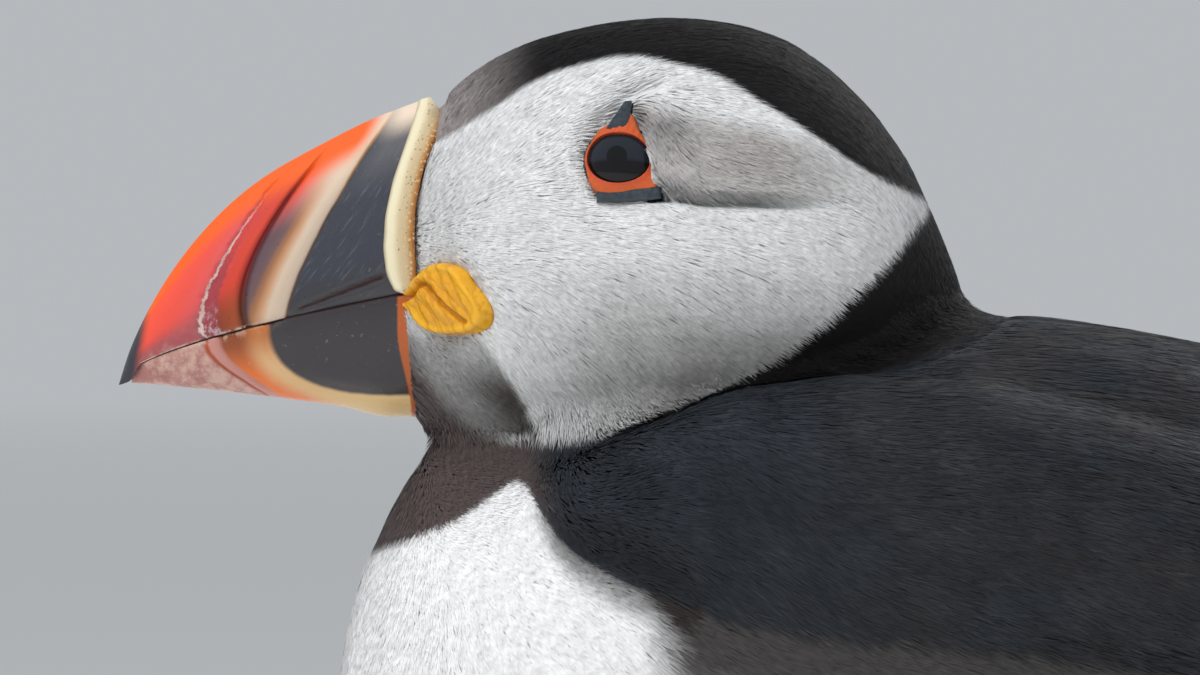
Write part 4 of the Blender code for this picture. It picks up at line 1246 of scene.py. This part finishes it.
def lowerFinish():
    finish = Finish("lowerHorn")
    wander = finish.noise(240, 3) - 0.5
    ragged = finish.noise(700, 6, 0.75) - 0.5
    front = finish.attribute("front") + wander * 0.5
    plate = finish.attribute("plate") + wander * 0.04
    run, drop = finish.attribute("run"), finish.attribute("drop")
    flesh = finish.mix(finish.span(finish.noise(420, 6, 0.7), 0.38, 0.62),
                       (0.40, 0.16, 0.14), (0.62, 0.38, 0.31))
    orange = finish.mix(finish.span(drop, 0.15, 0.8), (0.27, 0.055, 0.010), (0.80, 0.17, 0.02))
    edge = finish.mix(finish.span(drop, 0.1, 0.65), (0.52, 0.17, 0.045), (0.76, 0.47, 0.22))
    colour = finish.layered(
        flesh,
        (finish.span(front, 9.4, 9.9), (0.40, 0.06, 0.012)),
        (finish.span(front, 10.0, 10.35), (0.55, 0.24, 0.20)),
        (finish.span(front, 11.2, 11.8), orange),
        (finish.span(plate, 1.26, 1.08), edge),
        (finish.span(run, 20.5, 26.5) * finish.span(drop, 0.60, 0.82), (0.76, 0.51, 0.23)),
        (finish.span(plate, 1.035, 0.975), (0.034, 0.029, 0.032)),
        (finish.span(plate, 1.0, 0.9) * finish.span(drop, 0.68, 0.95) * 0.35, (0.24, 0.15, 0.13)))
    # the orange strip at the base, scales and a dark seam along the mouth line, and specks all over
    strip = finish.span(run + finish.span(finish.attribute("rise"), 6.0, -3.5, 0.0, 1.5) * -1.0, 31.3, 31.6)
    scaly = finish.span(drop, 0.16, 0.0) * finish.span(run, 20, 10) * finish.span(ragged, -0.03, 0.08)
    fine = finish.noise(1600, 4, 0.65)
    colour = finish.layered(colour, (strip, (0.47, 0.10, 0.010)), (scaly * 0.8, (0.66, 0.46, 0.36)),
                            (finish.span(drop, 0.012, 0.003), (0.03, 0.014, 0.012)),
                            (finish.span(fine, 0.63, 0.78) * 0.25, (0.72, 0.64, 0.60)))
    normal = finish.bump(fine + ragged * finish.span(front, 10.5, 9.0), 0.4, 0.00015)
    return finish.surface(colour, finish.span(fine, 0.3, 0.7, 0.28, 0.45), normal, 0.1,
                          **{"Coat Roughness": 0.2})


place("bill_upper_horn", upperBill(), upperFinish(), ["bill_upper"])
place("bill_lower_horn", lowerBill(), lowerFinish(), ["bill_lower"])
print("bill")


def ridgeBand():
    # an oval section laid on the arch of the bill's base, from one gape over the culmen to the other:
    # a round roll in front, a lower flange that flares out behind, with a row of small beads on its edge
    sweep, turn = sheet(np.linspace(-1, 1, ridge["rows"]), circle(ridge["columns"]))
    lift = 1 - np.abs(sweep) ** 1.9
    end = np.sqrt(ease(0, 0.03, lift) + 0.02)
    spread, above = np.cos(turn), np.sin(turn)
    run = ridgeAt("run", lift) + ridgeAt("half", lift) * end * spread
    height = bill["tip"][1] + upperPlace(run, lift)[1]
    bead = 0.15 * np.maximum(np.sin(height * 2 * np.pi / 0.45), 0)
    roll = np.abs(above) ** 0.7 * (1 - 0.5 * ease(-0.15, 0.35, spread))
    flare = 1.0 * ease(-0.3, 1, spread)
    push = flare + np.where(above > 0, ridge["high"] * roll + bead * hill(spread, 0.86, 0.14),
                            -0.9 * np.abs(above))
    x, rise = pushed(upperPlace, run, lift, push * end * (1 - 0.8 * ease(0.84, 1, lift)))
    rise = rise + 0.25 * lift
    return closedForm("ridge_band", billGrid(x * np.sign(sweep + 1e-9), run, rise), spread=spread,
                      travel=rise + 40 * (sweep > 0))


def ridgeFinish():
    finish = Finish("ridgeHorn")
    wander = finish.noise(300, 3) - 0.5
    spread = finish.attribute("spread") + wander * 0.25
    colour = finish.ramp(spread, -1, 1, [(-0.98, (0.50, 0.40, 0.26)), (-0.75, (0.80, 0.73, 0.52)),
                                         (-0.42, (0.80, 0.71, 0.48)), (-0.1, (0.64, 0.52, 0.32)),
                                         (0.45, (0.52, 0.38, 0.21)), (0.72, (0.43, 0.21, 0.06)),
                                         (0.92, (0.34, 0.12, 0.02))])
    along = finish.node("ShaderNodeCombineXYZ", None, {0: finish.attribute("travel"), 1: spread * 1.6})
    pore = finish.span(finish.cells(2.3, along), 0.24, 0.14) * finish.between(spread, -0.22, 0.85, 0.06)
    grains = finish.span(finish.cells(1900), 0.42, 0.25) * finish.span(spread, 0.1, 0.5)
    colour = finish.layered(colour, (pore * 0.7, (0.12, 0.06, 0.03)), (grains * 0.6, (0.78, 0.52, 0.27)))
    normal = finish.bump(finish.noise(1500, 4) * 0.5 - pore * 1.0 + grains * 0.8, 0.45, 0.00015)
    return finish.surface(colour, finish.span(spread, -0.5, 0.6, 0.32, 0.55), normal, 0.08)


place("ridge_band", ridgeBand(), ridgeFinish(), ["bill_ridge"])


def rosetteLeaf(name):
    # a fleshy leaf at the gape. Height over its outline: a raised rim, slanting waves, and an S fold
    part, turn = sheet(np.linspace(0, 1.0, rosette["rows"]), circle(rosette["columns"]))
    edge = rosetteEdge(np.cos(turn), np.sin(turn))
    a, b = part * edge * np.cos(turn), part * edge * np.sin(turn)
    wave = np.abs(np.sin((a + b) * 0.7071 * 2.3 + 0.5))
    lower = ease(0.3, -0.3, b - 0.4 * a - 0.2)
    height = 0.42 * hill(part, 0.88, 0.10) + 0.30 * ease(1, 0.92, part)
    height += (0.20 * wave ** 0.6 - 0.1) * ease(0.82, 0.6, part)
    height += 0.12 * np.sin(a * 3.1 + 2 * np.sin(b * 1.7)) * ease(0.8, 0.5, part) * (1 - lower)
    fold = lineGap(rosette["fold"], a, b)
    height += -0.6 * hill(fold, 0, 0.26) + 0.32 * hill(fold, 0.75, 0.4) * ease(1, -1, a)
    height *= np.sqrt(np.clip(1 - part ** 8, 0, 1))
    height -= 1.1 * ease(0.93, 1.0, part)
    top = seenFromSide(rosetteFrames[name], a, b, height + rosette["lift"] - 0.03 * (a * a + b * b))
    base = seenFromSide(rosetteFrames[name], a * 0.9, b * 0.9, -rosette["thick"] + 0 * a)
    # the fold's line and the waves' troughs, where the finish paints shade
    crease = np.maximum(hill(fold, 0, 0.3), ease(0.16, -0.02, wave) * ease(0.78, 0.6, part))
    rim, crease = (np.concatenate([values, 0 * part]) for values in (hill(part, 0.84, 0.13), crease))
    return closedForm("rosette_leaf_" + name, np.concatenate([top, base[::-1]]), rim=rim, crease=crease)


def rosetteFinish():
    # mottled yellow with wrinkles: cells along one slanting line, so that their seams cross the leaf. The
    # seams and the creases are painted darker, as shade
    finish = Finish("rosetteSkin")
    tint, mottle = finish.mottled(900, (0.72, 0.31, 0.006), (0.84, 0.41, 0.010))
    slant = finish.node("ShaderNodeVectorMath", {"operation": "DOT_PRODUCT"},
                        {0: finish.spot(), 1: (1 / 3,) * 3}, 1)
    wrinkle = finish.cells(620.0, slant + mottle * 0.0006, "DISTANCE_TO_EDGE")
    # painted shade: darker orange in the creases and along the wrinkles' seams
    tint = finish.layered(tint, (finish.attribute("rim") * 0.6, (0.88, 0.46, 0.010)),
                          (finish.attribute("crease") * 0.6, (0.44, 0.14, 0.003)),
                          (finish.span(wrinkle, 0.07, 0.0) * 0.35, (0.45, 0.15, 0.003)))
    normal = finish.bump(mottle * 0.3 + finish.span(wrinkle, 0.0, 0.16), 0.55, 0.0003)
    return finish.surface(tint, finish.span(mottle, 0.3, 0.7, 0.30, 0.42), normal, 0.15)


rosetteSkin = rosetteFinish()
for name, side in sides.items():
    place("rosette_leaf_" + name, rosetteLeaf(name), rosetteSkin, ["rosette_" + name])
print("ridge and rosettes")


# Eyes: a ball, a raised ring of bare skin with a nearly triangular outline, and two horny plates.

eye = {"half": (3.52, 2.86), "ball": 4.7, "sink": 3.3, "ringHigh": 0.36, "ringThick": 0.6,
       "shift": (0.12, -0.36)}
eyeFrames = {}
for name, side in sides.items():
    seat = pieceFrame("eye_ring_" + name, side)
    a, b = (eyeAt[axis] + eye["shift"][axis] - seat[0][axis + 1] for axis in range(2))
    eyeFrames[name] = (seenFromSide(seat, a, b, 0), *seat[1:])


def ringOutline(turn):
    # outer edge by direction: high over the eye, long towards the lower rear corner
    turn = np.degrees(turn)
    return (3.8 + 1.6 * hill(wrapped(turn, 80), 0, 17) + 1.5 * hill(wrapped(turn, -33), 0, 20)
            + 0.6 * hill(wrapped(turn, 232), 0, 24) + 0.2 * hill(wrapped(turn, 118), 0, 22)
            - 0.2 * hill(wrapped(turn, 146), 0, 16) - 0.2 * hill(wrapped(turn, 30), 0, 22))


def eyeBall(name):
    # a ball that sinks behind the ring; far is the distance from its axis, larger still on the hidden half
    rise, turn = sheet(np.linspace(0, np.pi, 40), circle(64))
    wide = eye["ball"] * np.sin(rise)
    grid = seenFromSide(eyeFrames[name], wide * np.cos(turn), wide * np.sin(turn),
                        eye["ball"] * np.cos(rise) - eye["sink"])
    return closedForm("eye_ball_" + name, grid, up=wide * np.sin(turn), far=wide + 9 * (rise > 1.6))


def eyeRing(name):
    # across the lid: part 0 dips under the ball's edge, 0.2 is the bead, 1 is tucked under the feathers
    part, turn = sheet(np.linspace(0, 1, 18), circle(120))
    halfA, halfB = eye["half"]
    flatTop = 1 - 0.06 * hill(turn, np.pi / 2, 0.5)
    inner = flatTop / np.sqrt((np.cos(turn) / halfA) ** 2 + (np.sin(turn) / halfB) ** 2)
    outer = np.maximum(ringOutline(turn), inner + 0.35)
    radius = inner + (outer - inner) * ease(0.12, 1, part) * 1.06 - 0.25 * ease(0.12, 0, part)
    seat = np.sqrt(np.maximum(eye["ball"] ** 2 - inner ** 2, 0)) - eye["sink"]
    height = seat + 0.12 + eye["ringHigh"] * hill(part, 0.22, 0.16) - 0.5 * ease(0.12, 0, part)
    height = (height * ease(1.4, 0.4, part) - 0.9 * ease(0.75, 1, part)
              + 0.05 * np.sin(turn * 30) * hill(part, 0.5, 0.3))
    a, b = radius * np.cos(turn), radius * np.sin(turn)
    top, floor = (seenFromSide(eyeFrames[name], a, b, height - depth) for depth in (0, eye["ringThick"]))
    return closedForm("eye_lid_" + name, np.concatenate([top, floor[::-1]]), True,
                      part=np.concatenate([part, part[::-1]]))


def pad(name, label, plate):
    # a low cushion: its middle line and half width are functions of s, its height falls off to the rim
    s, t = sheet(np.linspace(0, 1, 40), np.linspace(-1, 1, 25))
    a, b = plate["line"](s, t * plate["half"](s))
    swelling = np.clip(1 - t ** 2, 0, 1) * np.clip(1 - np.abs(2 * s - 1) ** 6, 0, 1)
    top = seenFromSide(eyeFrames[name], a, b, plate["base"] + plate["high"] * np.sqrt(swelling))
    low = seenFromSide(eyeFrames[name], a, b, plate["base"] - plate["thick"] + 0 * a)
    return tidyMesh(joined(label, [gridMesh("top", top), gridMesh("low", low)]), 0.00002)


plates = {"eye_wedge_": {"node": "eye_plate_upper_", "base": 0.47, "high": 0.38, "thick": 0.9,
                         "line": lambda s, t: (-0.2 + 1.35 * s + t, 3.22 + 3.2 * s + 0.05 * t),
                         "half": lambda s: 1.3 - 0.9 * s},
          "eye_bar_": {"node": "eye_plate_lower_", "base": -0.05, "high": 0.42, "thick": 0.9,
                       "line": lambda s, t: (-2.5 + 7.2 * s, -4.02 + 0.36 * s ** 2 + t),
                       "half": lambda s: 0.77 - 0.12 * s ** 8}}

finish = Finish("eyeWet")
# the upper half is painted blue-grey, a painted reflection of the sky; the lower half and the pupil are near
# black
sky = finish.span(finish.attribute("up"), -0.7, -0.1)
tint = finish.mix(sky, (0.006, 0.005, 0.006), (0.016, 0.020, 0.027))
tint = finish.mix(finish.span(finish.attribute("far"), 1.25, 1.05), tint, (0.005, 0.005, 0.006))
eyeWet = finish.surface(tint, 0.06, None, **{"Specular IOR Level": 0.3})
finish = Finish("eyeRingSkin")
grain = finish.noise(1800, 4)
# darker where the lid dips under the ball and where it tucks under the feathers: painted shade
tint = finish.ramp(finish.attribute("part") + (grain - 0.5) * 0.2, 0, 1,
                   [(0.0, (0.06, 0.02, 0.015)), (0.12, (0.36, 0.055, 0.012)), (0.3, (0.66, 0.085, 0.016)),
                    (0.75, (0.52, 0.095, 0.012)), (1.0, (0.26, 0.06, 0.015))])
ringSkin = finish.surface(tint, 0.42, finish.bump(grain, 0.6), 0.1)
finish = Finish("eyePlateHorn")
tint, grain = finish.mottled(1500, (0.020, 0.028, 0.036), (0.041, 0.054, 0.068))
plateHorn = finish.surface(tint, 0.42, finish.bump(grain, 0.5), 0.05)

for name, side in sides.items():
    place("eye_ball_" + name, eyeBall(name), eyeWet, ["eye_" + name])
    place("eye_lid_" + name, eyeRing(name), ringSkin, ["eye_ring_" + name])
    for label, plate in plates.items():
        place(label + name, pad(name, label + name, plate), plateHorn, [plate["node"] + name])
print("eyes")


# Legs, webbed feet and claws. Each foot is fused from a shank, three jointed toes and two webs.

foot = {"ankle": (23.5, 18.0, 27.0), "root": (24.0, 5.0, 4.0), "length": (27, 36, 34),
        "spread": (-24, -2, 20), "thick": 2.0, "tip": 1.3, "sole": 0.12, "web": 1.0, "webLow": 0.15,
        "voxel": 0.36, "smooth": 3, "heel": (3.1, 3.8, 3.0), "claw": 6.0, "clawThick": 1.15}


def toeLine(index, side, count=40):
    # straight ahead from the root, its height easing to the tip's by (1 - s)^2.2
    angle = np.radians(foot["spread"][index])
    root, ahead = np.array(foot["root"]), np.array([np.sin(angle), -np.cos(angle), 0])
    s = np.linspace(0, 1, count)
    path = root + ahead * (foot["length"][index] * s)[:, None]
    path[:, 2] = foot["tip"] + (root[2] - foot["tip"]) * (1 - s) ** 2.2
    return path * [side, 1, 1], s


def toeShell(index, side):
    # radius shrinks to the tip and swells at the joints; the sole is flat on the floor
    path, s = toeLine(index, side)
    radius = foot["thick"] * (1.15 - 0.5 * s) + 0.28 * hill(s, 0.36, 0.05) + 0.24 * hill(s, 0.66, 0.05)
    radius = radius * np.sqrt(np.clip(1 - s ** 14, 0.05, 1))
    grid = tube(path, radius, 24, 0.85)
    grid[..., 2] = np.maximum(grid[..., 2], foot["sole"])
    return shellFrom(grid, wrapColumns=True)


def webShell(first, side):
    # between two toes: straight lines across, with the front edge hollowed and faint rays in the skin
    (one, s), (two, s) = toeLine(first, side), toeLine(first + 1, side)
    t = np.linspace(0, 1, 40)
    hollow = 1 - 0.17 * (4 * t * (1 - t)) ** 0.7
    rows = s[:, None] * hollow[None, :]
    picks = rows * (len(s) - 1)
    prior = np.minimum(picks.astype(int), len(s) - 2)
    part = (picks - prior)[..., None]
    edgeOne, edgeTwo = (toe[prior] * (1 - part) + toe[prior + 1] * part for toe in (one, two))
    top = edgeOne * (1 - t)[None, :, None] + edgeTwo * t[None, :, None]
    rays = 0.14 * np.sin(t * 34)[None, :]
    top[..., 2] = np.minimum(top[..., 2], foot["web"] + rays + 1.6 * (1 - rows) ** 3)
    low = top.copy()
    low[..., 2] = foot["webLow"]
    return shellFrom(np.concatenate([top, low[::-1]]), wrapRows=True)


def heelShell(side):
    # rounded ball that the toes and the shank spring from
    turn, rise = sheet(circle(28), np.linspace(-np.pi / 2, np.pi / 2, 19))
    middle = np.array(foot["root"]) * [side, 1, 1] + [0, 0.3, -0.7]
    wide, long, high = foot["heel"]
    ball = [wide * np.cos(rise) * np.cos(turn), long * np.cos(rise) * np.sin(turn), high * np.sin(rise)]
    return shellFrom(middle + np.stack(ball, -1), wrapRows=True)


def shankShell(side):
    # from the toes' root up into the thigh: flat from side to side, wider at the ankle and the heel
    root, ankle = (np.array(foot[key]) * [side, 1, 1] for key in ("root", "ankle"))
    s = np.linspace(0.02, 1.07, 60)
    path = root + (ankle - root) * s[:, None]
    radius = 2.15 + 0.75 * hill(s, 0, 0.14) + 0.45 * hill(s, 0.96, 0.12)
    radius = radius * np.sqrt(np.clip(1 - np.maximum(s - 0.97, 0) ** 2 / 0.0101, 0.02, 1))
    return shellFrom(tube(path, radius, 28, 1.15), wrapColumns=True)


def clawMesh(name, index, side):
    # a cone whose line arcs up and then down to the point
    path = toeLine(index, side)[0]
    ahead = unit(path[-1] - path[-2])
    s = np.linspace(0, 1, 30)
    line = path[-1] + ahead * (foot["claw"] * s - 0.9)[:, None] * [1, 1, 0]
    line[:, 2] = 1.45 + 1.5 * s * (1 - s) * 2 - 0.95 * s ** 2
    radius = foot["clawThick"] * (1 - s) ** 0.75 + 0.12
    return closedForm(name, tube(line, radius, 20, 1.1))


def scaledSkin(name, colour, dark):
    # rows of small scales: cells with dark seams, larger in front
    finish = Finish(name)
    cells = finish.cells(1100.0, finish.turned((0.5, 0, 0), (1.0, 1.0, 0.55)), "DISTANCE_TO_EDGE")
    tint, grain = finish.mottled(300, tuple(0.72 * part for part in colour), colour)
    tint = finish.mix(finish.span(cells, 0.10, 0.02) * 0.5, tint, dark)
    normal = finish.bump(cells * 3.0 + grain, 0.5, 0.0003)
    return finish.surface(tint, finish.span(grain, 0.3, 0.7, 0.36, 0.5), normal, 0.08)


legSkin = scaledSkin("legSkin", (0.80, 0.150, 0.022), (0.22, 0.03, 0.01))
finish = Finish("clawHorn")
grain = finish.noise(700, 4)
tint = finish.mix(grain, (0.012, 0.011, 0.011), (0.05, 0.045, 0.042))
clawHorn = finish.surface(tint, 0.33, finish.bump(grain, 0.3), 0.15)
for name, side in sides.items():
    shells = [shankShell(side), heelShell(side), *(toeShell(index, side) for index in range(3)),
              *(webShell(index, side) for index in range(2))]
    whole = fuse("webbed_foot_" + name, shells, foot["voxel"], foot["smooth"])
    place("webbed_foot_" + name, whole, legSkin, ["leg_" + name, "foot_" + name])
    for index, toe in enumerate(("inner", "middle", "outer")):
        label = "claw_tip_" + toe + "_" + name
        place(label, clawMesh(label, index, side), clawHorn, ["claw_" + toe + "_" + name])
print("feet")


# Floor, light and camera

stage = {"floor": (0.86, 0.86, 0.85), "sky": (0.62, 0.65, 0.68), "skyStrength": 0.75, "floorSize": 60.0,
         "fadeFrom": 4.0, "fadeTo": 30.0, "lightsAim": (0, -0.03, 0.12),
         "focus": (0.0, -52.9, 127.5), "distance": 1.6, "frameWidth": 0.1348, "sensor": 36}

corners = np.array([[-1, -1, 0], [1, -1, 0], [1, 1, 0], [-1, 1, 0]])
floorMesh = meshOf("floor", corners * stage["floorSize"] / mm, [0, 1, 2, 3], [4], False)
finish = Finish("paleFloor")
away = finish.node("ShaderNodeVectorMath", {"operation": "LENGTH"}, {0: finish.spot()}, 1)
matt = finish.node("ShaderNodeBsdfPrincipled", None, {"Base Color": (*stage["floor"], 1), "Roughness": 0.8})
haze = finish.node("ShaderNodeEmission", None,
                   {"Color": (*stage["sky"], 1), "Strength": stage["skyStrength"]})
part = finish.span(away, stage["fadeFrom"], stage["fadeTo"])
faded = finish.node("ShaderNodeMixShader", None, {0: part, 1: matt, 2: haze})
finish.node("ShaderNodeOutputMaterial", None, {"Surface": faded})
floorMesh.materials.append(finish.material)
floor = bpy.data.objects.new("floor", floorMesh)
bpy.context.scene.collection.objects.link(floor)

world = bpy.data.worlds.new("studio")
world.use_nodes = True
backdrop = world.node_tree.nodes["Background"]
backdrop.inputs["Color"].default_value = (*stage["sky"], 1)
backdrop.inputs["Strength"].default_value = stage["skyStrength"]
bpy.context.scene.world = world


def softBox(name, spot, size, power, glints=True):
    light = bpy.data.lights.new(name, "AREA")
    light.shape = "DISK"
    light.size = size
    light.energy = power
    lamp = bpy.data.objects.new(name, light)
    lamp.location = spot
    lamp.rotation_euler = (Vector(stage["lightsAim"]) - Vector(spot)).to_track_quat("-Z", "Y").to_euler()
    lamp.visible_glossy = glints
    bpy.context.scene.collection.objects.link(lamp)


softBox("overhead", (0.7, -0.6, 1.6), 2.4, 30, False)
softBox("rim", (-0.9, 0.6, 0.9), 1.0, 5)

lens = bpy.data.cameras.new("camera")
lens.sensor_width = stage["sensor"]
lens.lens = stage["sensor"] * stage["distance"] / stage["frameWidth"]
lens.clip_end = 200
camera = bpy.data.objects.new("camera", lens)
focus = Vector(stage["focus"]) * mm
camera.location = focus + Vector((stage["distance"], 0, 0))
camera.rotation_euler = (focus - camera.location).to_track_quat("-Z", "Y").to_euler()
bpy.context.scene.collection.objects.link(camera)
bpy.context.scene.camera = camera
bpy.context.scene.view_settings.view_transform = "Standard"
print("stage")
